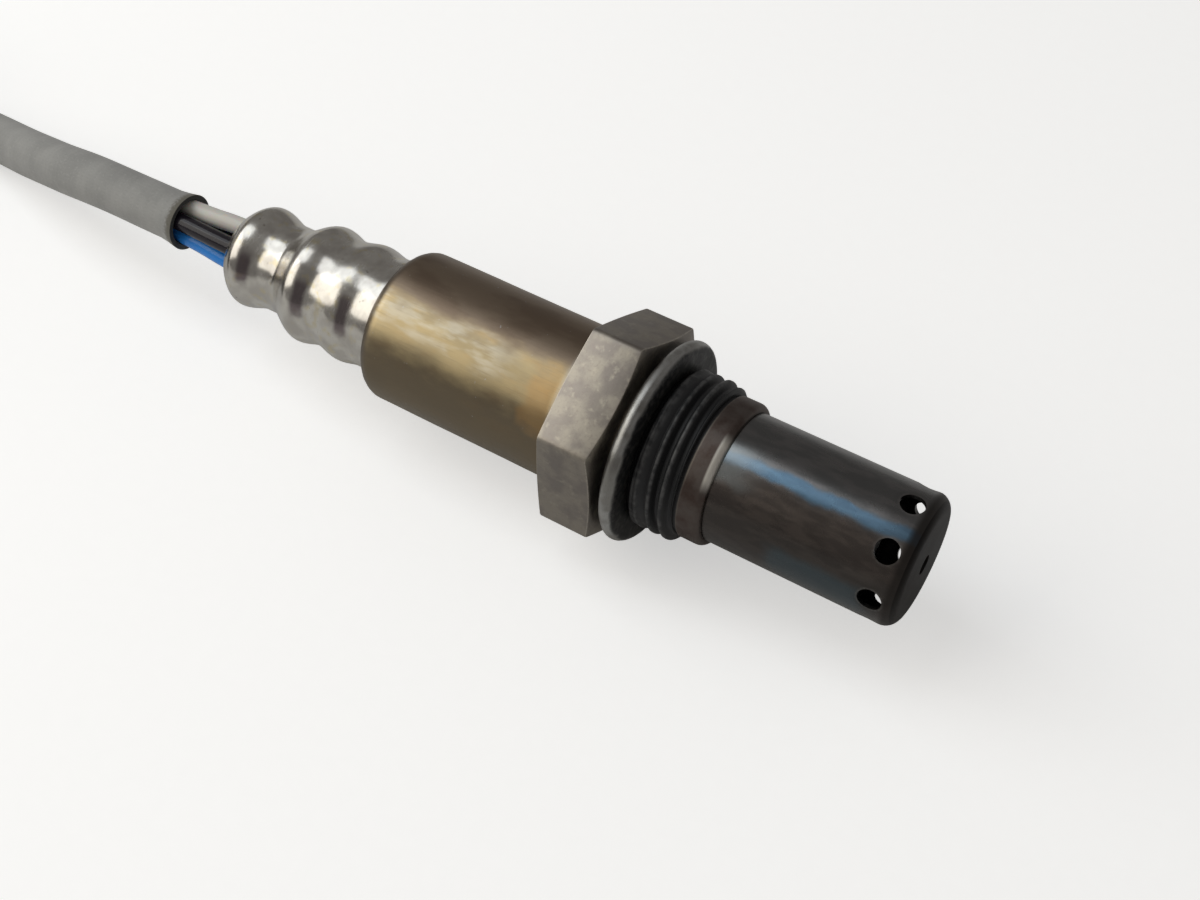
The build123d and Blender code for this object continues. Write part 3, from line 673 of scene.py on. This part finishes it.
def cover_rows():
    straight_end_x = cover_rear_x + cover_shoulder
    count = round((weld_bead[-1][0] - straight_end_x) / cover_row_pitch)
    rows = list(weld_bead)
    for step in range(1, count + 1):
        x = weld_bead[-1][0] + (straight_end_x - weld_bead[-1][0]) * step / count
        rows.append(uneven(x, cover_radius - cover_dent_inset, cover_dents, cover_dent_scale))
    rows += rounded(straight_end_x, cover_radius, -cover_shoulder, cover_shoulder, range(12, 91, 13))
    rows.append((cover_rear_x + 0.1, cover_mouth_radius))
    inner_round = cover_shoulder - cover_wall
    rows += rounded(straight_end_x, cover_inner_radius, -inner_round, inner_round, range(90, -1, -30))
    return rows + [(hex_rear_x, cover_inner_radius), (hex_rear_x, cover_radius)]


def cover_finish():
    """Heat tints in clouds drawn out along the tube, over fine drawing lines, with a painted highlight
    strip and painted shade by angle.
    """
    paint = Paint("heat_tinted_cover", {"Metallic": 1.0})
    long_clouds = paint.noise(0.32, 3, (0.45, 1, 1))
    warm_clouds = paint.noise(0.5, 3, (0.5, 1, 1))
    lines = paint.noise(2.2, 3, (0.12, 3, 3))
    rings = paint.noise(2, 2, (4, 0.2, 0.2))
    turned = paint.angle() + (warm_clouds - 0.5) * 26
    straw_and_highlight = paint.mix(paint.ramp(long_clouds, 0.36, 0.64), (0.4, 0.325, 0.195), (0.5, 0.4, 0.23))
    straw_and_highlight = paint.mix(paint.ramp(warm_clouds, 0.5, 0.7) * 0.5, straw_and_highlight, (0.5, 0.35, 0.17))
    streaks = paint.noise(0.8, 3, (0.3, 1, 1))
    # Painted highlight: pale streaks in the strip that faces the camera.
    painted_highlight_streaks = paint.band(turned, 26, 38, 10) * paint.ramp(paint.x, -14, -20)
    straw_and_highlight = paint.mix(painted_highlight_streaks * paint.ramp(streaks, 0.4, 0.62) * 0.6, straw_and_highlight, (0.6, 0.56, 0.46))
    bronze_and_shade = paint.mix(paint.ramp(long_clouds, 0.4, 0.6), (0.22, 0.165, 0.12), (0.27, 0.21, 0.155))
    # Painted highlight and shade: the straw tint only in a strip that faces the camera, the darker bronze
    # elsewhere.
    tint = paint.mix(paint.ramp(turned, 12, 32), bronze_and_shade, straw_and_highlight)
    # Painted shade: darker on the lower side, by angle.
    tint = paint.mix(paint.ramp(turned, 46, 68) * 0.85, tint, (0.16, 0.13, 0.095))
    orange = paint.band(paint.x + (warm_clouds - 0.5) * 3, -13.2, -11.0, 1.2)
    tint = paint.mix(orange * paint.band(turned, 32, 62, 12) * 0.5, tint, (0.5, 0.31, 0.13))
    tint = paint.mix(paint.ramp(paint.x, -10.8, -10.3) * 0.4, tint, (0.44, 0.42, 0.38))
    brown = paint.ramp(paint.x + (long_clouds - 0.5) * 1.2, -33.0, -34.4)
    tint = paint.mix(brown * 0.8, tint, (0.14, 0.115, 0.095))
    tint = paint.mix(paint.ramp(lines, 0.55, 0.75) * 0.2, tint, (0.24, 0.2, 0.145))
    speck = paint.ramp(paint.noise(2.6, 1), 0.76, 0.8)
    tint = paint.mix(speck * 0.5, tint, (0.5, 0.5, 0.5))
    rough = 0.4 + (long_clouds - 0.5) * 0.16 + (lines - 0.5) * 0.12
    return paint.done(
        Base_Color=tint,
        Roughness=rough,
        Normal=paint.bump(lines * 0.5 + rings * 0.3 + warm_clouds * 0.2, 0.02, 0.5),
    )


shown_piece("drawn_cover", spun(cover_rows()), ["main_cover"], cover_finish())

# %% [markdown]
# ## Crimped rear sleeve
# Thin bright steel, pressed into a waist and a groove so that it grips the rubber inside. Between the
# stations the wall swells smoothly, and each pressed ring keeps very slight flats of eight jaws, a guessed
# number. It is polished, with fine rubbing marks, a yellowish cast and a few dark pits. Three dark bands on
# its slopes are painted reflections, placed where the photograph has them, and not marks on the steel.

# %% Crimped rear sleeve
sleeve_wall = 0.5
crimp_stations = [
    (-56.824, 4.95, 4.45),
    (-54.824, 6.15, 5.65),
    (-51.424, 5.3, 4.8),
    (-50.024, 5.3, 4.8),
    (-45.974, 7.12, 6.62),
    (-43.224, 6.52, 6.22),
    (-40.124, 7.1, 6.6),
    (-37.424, 6.66, 6.36),
    (-35.224, 6.87, 6.38),
]
shade_bands = ((-53.9, -53.2), (-45.1, -44.3), (-38.9, -38.2))
pressed_x = (-50.7, -43.2)
pressed_reach = 1.9
jaw_count = 8
jaw_flat = 0.02
rows_per_station = 12
sleeve_front_x = -31.324
sleeve_flange_radius = 8.18


def crimped_row(x, radius):
    """A row of the sleeve, with the jaws' flats where it was pressed."""
    pressed = max(1 - smooth_share(abs(x - middle), 0, pressed_reach) for middle in pressed_x)

    def place(angle):
        return x, radius + jaw_flat * pressed * math.cos(jaw_count * angle)

    return place


def crimp_rows(side):
    """Rows from the mouth to the cover, outside (1) or inside (2), swelling between the stations."""
    rows = []
    for station, following in zip(crimp_stations, crimp_stations[1:]):
        for step in range(rows_per_station):
            share = step / rows_per_station
            rise = smooth_share(share, 0, 1)
            if station == crimp_stations[0]:
                rise = math.sin(share * math.pi / 2)
            x = station[0] + (following[0] - station[0]) * share
            rows.append(crimped_row(x, station[side] + (following[side] - station[side]) * rise))
    return rows + [crimped_row(crimp_stations[-1][0], crimp_stations[-1][side])]


def sleeve_rows():
    neck_radius, neck_inside = crimp_stations[-1][1:]
    flange_rear_x = sleeve_front_x - sleeve_wall
    outside = [(flange_rear_x - sleeve_wall, neck_radius), (flange_rear_x, neck_radius + sleeve_wall)]
    outside += [(flange_rear_x, sleeve_flange_radius), (sleeve_front_x, sleeve_flange_radius)]
    inside = [(sleeve_front_x, neck_radius), (flange_rear_x, neck_inside)]
    return crimp_rows(1) + outside + inside + crimp_rows(2)[::-1]


def sleeve_finish():
    """Polished steel: rubbing marks, a yellow cast, dark pits and three painted dark reflection bands."""
    paint = Paint("polished_crimped_steel", {"Metallic": 1.0})
    clouds = paint.noise(0.45, 3)
    rub = paint.noise(2.4, 4, (3.2, 0.5, 0.5))
    steel = paint.mix(paint.ramp(clouds, 0.35, 0.65), (0.52, 0.495, 0.46), (0.66, 0.64, 0.595))
    yellow = paint.ramp(paint.noise(0.8, 2), 0.55, 0.72) * 0.6
    steel = paint.mix(yellow, steel, (0.62, 0.55, 0.36))
    turned = paint.angle() + (clouds - 0.5) * 20
    along = paint.x + (clouds - 0.5) * 0.8
    # Painted reflections: three dark bands on the slopes, by place and angle.
    for start, end in shade_bands:
        shade = paint.band(along, start, end, 0.65) * paint.band(turned, 48, 68, 16)
        steel = paint.mix(shade * 0.8, steel, (0.13, 0.095, 0.11))
    pits = paint.ramp(paint.noise(1.9, 1), 0.74, 0.8)
    steel = paint.mix(pits * 0.8, steel, (0.12, 0.08, 0.05))
    rough = 0.2 + (clouds - 0.5) * 0.12 + paint.ramp(rub, 0.5, 0.7) * 0.07
    height = rub * 0.6 + paint.noise(7, 2) * 0.4
    return paint.done(Base_Color=steel, Roughness=rough, Normal=paint.bump(height, 0.012, 0.5))


shown_piece("crimped_sleeve", spun(sleeve_rows()), ["rear_sleeve"], sleeve_finish())

# %% [markdown]
# ## Leads
# Four insulated leads come out of the grommet and close into a bundle where the harness sleeve
# begins. They run a little way into its mouth. The insulation is smooth and glossy, with faint
# dents and dust, and the white lead looks a little see-through.

# %% Leads
lead_radius = 1.1
lead_sides = 32
lead_names = ["white", "black_front", "blue", "black_rear"]
lead_first_angle = -39.3
grommet_circle = 2.4
bundle_circle = 1.584
lead_front_x = -42.0
sleeve_mouth_x = crimp_stations[0][0]
lead_run_inside = 6.5
plug_cells = {"white": (-1, 1), "black_front": (1, 1), "blue": (1, -1), "black_rear": (-1, -1)}
plug_rear = (-168.0, -38.5, -3.202)
cell_offset = 3.0
plug_lead_straight = 3.5
plug_lead_inside = 9.0
lead_resolution = 24
insulation_colours = {
    "white": ((0.74, 0.72, 0.66), (0.82, 0.8, 0.75)),
    "black": ((0.008, 0.006, 0.01), (0.016, 0.012, 0.02)),
    "blue": ((0.03, 0.27, 0.92), (0.05, 0.36, 1.0)),
}


def insulation_finish(name):
    """Smooth extruded insulation with dust in its low spots."""
    see_through = 0.25 if name == "white" else 0.0
    gloss = {"Coat Weight": 0.2, "Coat Roughness": 0.08, "Specular IOR Level": 0.3}
    body = {"Subsurface Weight": see_through, "Subsurface Scale": 0.6 * MM}
    paint = Paint(f"insulation_{name}", gloss | body)
    clouds = paint.noise(0.7, 3)
    dust = paint.ramp(paint.noise(2.8, 3), 0.6, 0.75) * 0.07
    colour = paint.mix(clouds, *insulation_colours[name])
    colour = paint.mix(dust, colour, (0.4, 0.38, 0.34))
    return paint.done(
        Base_Color=colour,
        Roughness=0.2 + dust * 1.2 + (clouds - 0.5) * 0.1,
        Normal=paint.bump(clouds * 0.7 + paint.noise(4, 2) * 0.3, 0.03, 0.4),
    )


def insulated_lead(colour, route, replaced):
    """One lead: rings along its route, closed at both ends."""
    mesh = bmesh.new()
    line = spline_points(route, lead_resolution)
    rings = rings_along(mesh, line, lead_sides, lambda distance, angle: lead_radius)
    bridge(mesh, rings)
    mesh.faces.new(rings[0])
    mesh.faces.new(rings[-1])
    mark_creases(mesh)
    piece_name = replaced.replace("lead", "insulated_lead")
    return shown_piece(piece_name, mesh, [replaced], insulations[colour])


def sensor_route(index):
    """From inside the grommet out of the crimped mouth and into the harness sleeve."""
    angle = math.radians(lead_first_angle + 90 * index)
    out = Vector((0, -math.sin(angle), math.cos(angle)))
    bundle_x = harness_route[0][0]
    stations = [
        (lead_front_x, grommet_circle),
        (sleeve_mouth_x - lead_radius, grommet_circle),
        (bundle_x + lead_radius, bundle_circle),
        (bundle_x - lead_run_inside, bundle_circle),
    ]
    return [Vector((x, 0, 0)) + out * reach for x, reach in stations]


def plug_route(name):
    """Out of the harness sleeve's end, around one bend and into its cell of the plug."""
    column, row = plug_cells[name]
    side = bundle_circle / math.sqrt(2)
    start = Vector(coil_end_point) + Vector((column * side, 0, row * side))
    cell = Vector(plug_rear) + Vector((0, column * cell_offset, row * cell_offset))
    return [
        start + Vector((0, lead_run_inside, 0)),
        start,
        Vector((start.x, cell.y, start.z)),
        cell - Vector((plug_lead_straight, 0, 0)),
        cell + Vector((plug_lead_inside, 0, 0)),
    ]


insulations = {name: insulation_finish(name) for name in insulation_colours}
plug_pieces = []
for index, lead_name in enumerate(lead_names):
    colour = lead_name.split("_")[0]
    insulated_lead(colour, sensor_route(index), f"lead_{lead_name}")
    plug_pieces.append(insulated_lead(colour, plug_route(lead_name), f"plug_lead_{lead_name}"))

# %% [markdown]
# ## Harness sleeve
# A glass-fibre braid with a grey coating, cut off square. The end at the sensor is slightly flared, both
# ends are browned, the inner wall behind each end is painted near black as painted shade, and the leads
# show in the dark mouth. The surface carries its own map: how far along it is, and how far around, so that
# the fine braid follows every bend.

# %% Harness sleeve
sleeve_flare = 0.4
sleeve_flare_length = 2.4
sleeve_hollow = 6.0
sleeve_thickness = 0.6
sleeve_slack = 0.08
sleeve_lumps = 0.07
lump_scale_along = 0.12
lump_scale_around = 0.8
inside_mark = -5.0
harness_sides = 48
strands_around = 22
strand_pitch = 1.15


def woven_radius(distance, angle):
    """Outer radius of the sleeve, a little uneven and flared where it faces the sensor."""
    flare = sleeve_flare * (1 - smooth_share(distance, 0, sleeve_flare_length))
    around = Vector((0, math.cos(angle), math.sin(angle))) * lump_scale_around
    spot = around + Vector((distance * lump_scale_along, 0, 0))
    return harness_diameter / 2 - sleeve_slack + flare + sleeve_lumps * noise.noise(spot)


def hollow_rings(mesh, rings):
    """Rings of the inner wall behind an open end, from the mouth inwards."""
    inner = []
    travelled = 0.0
    previous = None
    for ring in rings:
        centre = sum((vertex.co for vertex in ring), Vector()) / len(ring)
        travelled += (centre - previous).length if previous else 0.0
        previous = centre
        if travelled > sleeve_hollow * MM:
            break
        wall = sleeve_thickness * MM
        inner.append([mesh.verts.new(v.co - (v.co - centre).normalized() * wall) for v in ring])
    return inner


def map_sleeve(mesh, outer, inner_ends):
    """Writes how far along and how far around each corner is. Inside, the distance is negative."""
    uv_layer = mesh.loops.layers.uv.new("braid_map")
    places = {}
    for number, ring in enumerate(outer):
        for step, vertex in enumerate(ring):
            places[vertex] = (harness_length / MM * number / (len(outer) - 1), step / harness_sides)
    for rings in inner_ends:
        for ring in rings:
            for step, vertex in enumerate(ring):
                places[vertex] = (inside_mark, step / harness_sides)
    for face in mesh.faces:
        turns = [places[loop.vert][1] for loop in face.loops]
        crosses_seam = max(turns) - min(turns) > 0.5
        for loop in face.loops:
            along, around = places[loop.vert]
            if crosses_seam and around < 0.5:
                around += 1
            loop[uv_layer].uv = (along, around)


def woven_sleeve():
    mesh = bmesh.new()
    outer = rings_along(mesh, harness_line, harness_sides, woven_radius)
    bridge(mesh, outer)
    inner_ends = [hollow_rings(mesh, outer), hollow_rings(mesh, outer[::-1])]
    for mouth, inner in zip((outer[0], outer[-1]), inner_ends):
        bridge(mesh, [mouth] + inner)
        mesh.faces.new(inner[-1])
    mark_creases(mesh)
    map_sleeve(mesh, outer, inner_ends)
    return mesh


def braid_finish():
    """Grey coated braid, speckled and slightly fuzzy, browned at its cut ends and painted dark inside as
    painted shade.
    """
    paint = Paint("coated_glass_braid", {"Sheen Weight": 0.25, "Sheen Roughness": 0.6})
    along = paint.node("SeparateXYZ", inputs={"Vector": paint.node("UVMap", {"uv_map": "braid_map"})})
    around = along.other("Y")
    rising = paint.maths("SINE", (around * strands_around + along * (1 / strand_pitch)) * math.tau)
    falling = paint.maths("SINE", (around * strands_around - along * (1 / strand_pitch)) * math.tau)
    weave = rising * falling * 0.5 + 0.5
    clouds = paint.noise(0.25, 3)
    speckle = paint.noise(3.5, 3)
    colour = paint.mix(paint.ramp(clouds, 0.3, 0.7), (0.32, 0.32, 0.31), (0.4, 0.4, 0.385))
    colour = paint.mix(paint.ramp(speckle, 0.5, 0.75) * 0.4, colour, (0.5, 0.5, 0.48))
    colour = paint.mix(paint.ramp(weave, 0.35, 0.05) * 0.12, colour, (0.2, 0.2, 0.19))
    total = harness_length / MM
    edge = along + (speckle - 0.5) * 0.5
    browned = paint.ramp(edge, 0.55, 0.15) + paint.ramp(edge, total - 0.55, total - 0.15)
    colour = paint.mix(browned * 0.85, colour, (0.09, 0.08, 0.05))
    # Painted shade: the inner wall behind each open end is near black.
    colour = paint.mix(paint.ramp(along, 0.0, -1.0), colour, (0.012, 0.012, 0.01))
    return paint.done(
        Base_Color=colour,
        Roughness=0.72 + (speckle - 0.5) * 0.2,
        Normal=paint.bump(weave * 0.6 + speckle * 0.4, 0.05, 0.35),
    )


harness = shown_piece(
    "woven_harness_sleeve",
    woven_sleeve(),
    ["harness_tube", "harness_coil"],
    braid_finish(),
)

# %% [markdown]
# ## Protector and grommet
# The outer protector is drawn as a cup and punched through: a ring of gas holes near its end and one hole
# in the middle of it. Spinning its section and cutting the ring of holes with round punches repeats that.
# Its steel was baked dark in the exhaust: grey-brown, with painted shade underneath, a blue line along its
# top that is part oxide colour and part painted highlight, a pale painted highlight near the nose, and a
# bluish patch low at the tip. Line and patch follow the photograph and are painted in by angle and place.
# The tip is sooty and painted darker still as painted shade, the inside towards the tip is painted near
# black as soot and painted shade, and the punched holes' rims carry a pale painted highlight. The grommet
# is black rubber.

# %% Protector and grommet
hole_x = 26.9
hole_radius = 1.31
hole_phase = -5.5
hole_count = 8
hole_row_x = hole_x - 2
punch_depth = 6.0
punch_sides = 48
end_hole_radius = 1.1
tube_radius = 7.3
tube_wall = 0.5
tube_reach = 29.6
tube_corner = 1.6
tube_flange_radius = 7.6
tube_flange_rear_x = 6.9


def protector_rows():
    """The cup's closed half-section, from its flange out to the end hole and back inside."""
    corner_x = tube_reach - tube_corner
    flange_front_x = tube_flange_rear_x + tube_wall
    inner_radius = tube_radius - tube_wall
    rows = [(tube_flange_rear_x, tube_flange_radius), (flange_front_x, tube_flange_radius)]
    rows += [(flange_front_x, tube_radius), (hole_row_x, tube_radius), (corner_x, tube_radius)]
    rows += rounded(corner_x, tube_radius, tube_corner, tube_corner, range(10, 91, 10))
    rows += [(tube_reach, end_hole_radius), (tube_reach - tube_wall, end_hole_radius)]
    inner_corner = tube_corner - tube_wall
    rows += rounded(corner_x, inner_radius, inner_corner, inner_corner, range(90, -1, -15))
    return rows + [(tube_flange_rear_x, inner_radius)]


def punched_cup():
    """The spun cup with its ring of round holes cut through the wall."""
    punches = bmesh.new()
    radii = {"radius1": hole_radius * MM, "radius2": hole_radius * MM}
    round_punch = {"segments": punch_sides, "cap_ends": True, "depth": punch_depth * MM, **radii}
    for index in range(hole_count):
        punch = bmesh.ops.create_cone(punches, **round_punch)
        bmesh.ops.translate(punches, verts=punch["verts"], vec=(hole_x * MM, 0, tube_radius * MM))
        turn = Matrix.Rotation(math.radians(hole_phase + index * 360 / hole_count), 3, "X")
        bmesh.ops.rotate(punches, verts=punch["verts"], cent=(0, 0, 0), matrix=turn)
    carriers = [placed("cup", spun(protector_rows())), placed("punches", punches)]
    cut = carriers[0].modifiers.new("holes", "BOOLEAN")
    cut.operation = "DIFFERENCE"
    cut.solver = "EXACT"
    cut.object = carriers[1]
    cup = bmesh.new()
    cup.from_object(carriers[0], bpy.context.evaluated_depsgraph_get())
    for carrier in carriers:
        bpy.data.objects.remove(carrier)
    mark_creases(cup)
    return cup


def protector_finish():
    """Oxide colours by angle and place, soot at the tip and around the punched holes, painted shade
    underneath, at the tip and inside, and painted highlights along the top, near the nose and at the hole
    rims.
    """
    paint = Paint("baked_protector_steel", {"Metallic": 1.0})
    clouds = paint.noise(0.3, 3)
    streaks = paint.noise(1.2, 3, (0.3, 1, 1))
    fine = paint.noise(4, 3)
    angle = paint.angle() + (clouds - 0.5) * 14
    grey = paint.mix(paint.ramp(streaks, 0.4, 0.65), (0.14, 0.14, 0.14), (0.175, 0.17, 0.17))
    brown = paint.mix(paint.ramp(streaks, 0.4, 0.65), (0.11, 0.095, 0.087), (0.15, 0.128, 0.115))
    blue = paint.mix(paint.ramp(streaks, 0.35, 0.65), (0.1, 0.165, 0.235), (0.12, 0.2, 0.28))
    colour = paint.mix(paint.ramp(angle, 22, 36), grey, brown)
    # Painted shade: darker underneath, by angle.
    colour = paint.mix(paint.ramp(angle, 54, 70) * 0.65, colour, (0.045, 0.042, 0.04))
    # Part oxide colour, part painted highlight: a blue line along the top, by angle.
    colour = paint.mix(paint.band(angle, 20, 26, 5), colour, blue)
    # Painted highlight: a pale patch near the nose on the lit side, by place and angle.
    painted_pale_highlight = paint.ramp(paint.x + (clouds - 0.5) * 3, 14, 8.5)
    colour = paint.mix(painted_pale_highlight * paint.band(angle, 14, 40, 10) * 0.6, colour, (0.3, 0.33, 0.34))
    low_blue = paint.band(angle, 84, 112, 12) * paint.band(paint.x + (clouds - 0.5) * 4, 17, 25, 3)
    colour = paint.mix(low_blue * 0.6, colour, (0.085, 0.12, 0.14))
    hole_step = 360 / hole_count
    turn = paint.maths("PINGPONG", paint.angle() - hole_phase, hole_step / 2)
    across = turn * (math.radians(1) * tube_radius)
    ahead = paint.x - hole_x
    from_hole = paint.maths("SQRT", across * across + ahead * ahead)
    outside = paint.ramp(paint.radius(), tube_radius - 0.2, tube_radius - 0.05)
    soot = paint.ramp(from_hole, hole_radius + 1.0, hole_radius) * paint.ramp(clouds, 0.3, 0.6)
    colour = paint.mix(soot * 0.35, colour, (0.06, 0.056, 0.053))
    # Painted highlight: a paler ring round each hole's rim.
    painted_rim_highlight = paint.ramp(from_hole, hole_radius + 0.3, hole_radius + 0.08) * outside
    colour = paint.mix(painted_rim_highlight * 0.35 * paint.ramp(fine, 0.3, 0.6), colour, (0.24, 0.23, 0.22))
    # Soot and painted shade: the end is darker towards the tip.
    tip_soot_and_shade = paint.ramp(paint.x, tube_reach - 1.7, tube_reach - 0.9)
    colour = paint.mix(tip_soot_and_shade * 0.85, colour, (0.045, 0.04, 0.037))
    # Soot and painted shade: the inner wall is near black towards the tip.
    inside = paint.ramp(paint.radius(), tube_radius - tube_wall + 0.1, tube_radius - tube_wall)
    colour = paint.mix(inside * paint.ramp(paint.x, 12, 20) * 0.9, colour, (0.02, 0.018, 0.017))
    rough = 0.27 + (clouds - 0.5) * 0.1 + soot * 0.15 + tip_soot_and_shade * 0.25
    return paint.done(
        Base_Color=colour,
        Roughness=rough,
        Normal=paint.bump(streaks * 0.5 + fine * 0.5, 0.012, 0.5),
    )


def rubber_finish(name, dark, light):
    """Matt rubber with a fine moulded grain and pale bloom."""
    paint = Paint(name, {"Specular IOR Level": 0.35})
    clouds = paint.noise(0.8, 3)
    grain = paint.noise(8, 2)
    bloom = paint.ramp(paint.noise(2, 3), 0.55, 0.75) * 0.3
    colour = paint.mix(bloom, paint.mix(clouds, dark, light), (0.12, 0.12, 0.11))
    return paint.done(
        Base_Color=colour,
        Roughness=0.7 + (clouds - 0.5) * 0.2,
        Normal=paint.bump(grain * 0.7 + clouds * 0.3, 0.03, 0.6),
    )


def refinish(node_name, material):
    """Gives a CAD node a finish in place of its plain one."""
    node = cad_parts[node_name]
    node.data.materials.clear()
    node.data.materials.append(material)


shown_piece("punched_protector", punched_cup(), ["outer_protector"], protector_finish())
refinish("grommet", rubber_finish("grommet_rubber", (0.018, 0.018, 0.018), (0.03, 0.03, 0.03)))

# %% [markdown]
# ## Inner pieces
# The pieces inside the sensor show only through the gas holes, but each is finished as what it is:
# a bright inner tube, fired ceramics, pressed talc, and contacts bent from plated strip.

# %% Inner pieces


def satin_steel(name, dark, light, roughness):
    """Drawn or stamped steel with rolling lines and light stains."""
    paint = Paint(name, {"Metallic": 1.0})
    lines = paint.noise(3, 3, (0.2, 3, 3))
    stains = paint.noise(0.6, 3)
    colour = paint.mix(paint.ramp(stains, 0.35, 0.65), dark, light)
    colour = paint.mix(paint.ramp(lines, 0.55, 0.75) * 0.3, colour, dark)
    return paint.done(
        Base_Color=colour,
        Roughness=roughness + (lines - 0.5) * 0.2,
        Normal=paint.bump(lines, 0.012, 0.5),
    )


def fired_ceramic(name, dark, light, grain_depth):
    """Matt ceramic or packed powder: a fine grain with small darker specks."""
    paint = Paint(name, {"Roughness": 0.75})
    grain = paint.noise(5, 3)
    specks = paint.ramp(paint.noise(3.2, 2), 0.66, 0.74)
    colour = paint.mix(specks * 0.4, paint.mix(grain, dark, light), (0.35, 0.31, 0.26))
    return paint.done(Base_Color=colour, Normal=paint.bump(grain, grain_depth, 0.7))


bright_steel = satin_steel("inner_tube_steel", (0.42, 0.42, 0.41), (0.6, 0.6, 0.58), 0.3)
ring_steel = satin_steel("pressed_ring_steel", (0.36, 0.355, 0.34), (0.5, 0.5, 0.49), 0.4)
plated_strip = satin_steel("plated_strip", (0.5, 0.49, 0.46), (0.66, 0.65, 0.61), 0.28)
thimble_ceramic = fired_ceramic("thimble_ceramic", (0.74, 0.71, 0.64), (0.82, 0.8, 0.74), 0.01)
rod_ceramic = fired_ceramic("heater_ceramic", (0.68, 0.68, 0.67), (0.78, 0.78, 0.77), 0.01)
block_ceramic = fired_ceramic("block_ceramic", (0.74, 0.72, 0.66), (0.84, 0.82, 0.77), 0.015)
pressed_talc = fired_ceramic("pressed_talc", (0.62, 0.63, 0.58), (0.75, 0.76, 0.71), 0.04)
inner_finishes = [
    (bright_steel, ["inner_protector"]),
    (ring_steel, ["seat_washer", "crimp_ring"]),
    (thimble_ceramic, ["sensing_element"]),
    (rod_ceramic, ["heater_rod"]),
    (block_ceramic, ["insulating_ring", "contact_holder"]),
    (pressed_talc, ["talc_packing"]),
    (plated_strip, ["outer_contact", "inner_contact", "heater_contact_front", "heater_contact_rear"]),
]
for material, node_names in inner_finishes:
    for node_name in node_names:
        refinish(node_name, material)
print("inner pieces", sum(len(node_names) for _, node_names in inner_finishes))

# %% [markdown]
# ## Plug
# The plug lies inside the coil, outside the picture. Its shell is moulded nylon with a fine spark
# grain, its seal grey rubber, its pin lock paler nylon, and its pins are tin-plated brass.

# %% Plug


def moulded_finish(name, dark, light):
    """Moulded nylon: spark grain, faint flow lines and a few scuffs."""
    paint = Paint(name, {"Specular IOR Level": 0.5})
    grain = paint.noise(7, 3)
    flow = paint.noise(0.25, 3, (0.4, 1, 1))
    scuffs = paint.ramp(paint.noise(0.9, 4, (0.3, 2, 2)), 0.64, 0.7) * 0.25
    colour = paint.mix(scuffs, paint.mix(paint.ramp(flow, 0.3, 0.7), dark, light), (0.16, 0.16, 0.155))
    return paint.done(
        Base_Color=colour,
        Roughness=0.42 + (grain - 0.5) * 0.2 + scuffs * 0.6,
        Normal=paint.bump(grain * 0.8 + flow * 0.2, 0.02, 0.5),
    )


refinish("connector_shell", moulded_finish("shell_nylon", (0.014, 0.014, 0.015), (0.026, 0.026, 0.027)))
refinish("connector_lock", moulded_finish("lock_nylon", (0.27, 0.28, 0.28), (0.36, 0.37, 0.37)))
refinish("connector_seal", rubber_finish("seal_rubber", (0.16, 0.16, 0.17), (0.24, 0.24, 0.25)))
tinned_brass = satin_steel("tinned_brass", (0.55, 0.54, 0.48), (0.72, 0.7, 0.63), 0.25)
for lead_name in lead_names:
    refinish(f"connector_pin_{lead_name}", tinned_brass)
plug_pieces += [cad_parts[name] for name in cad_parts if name.startswith("connector_")]
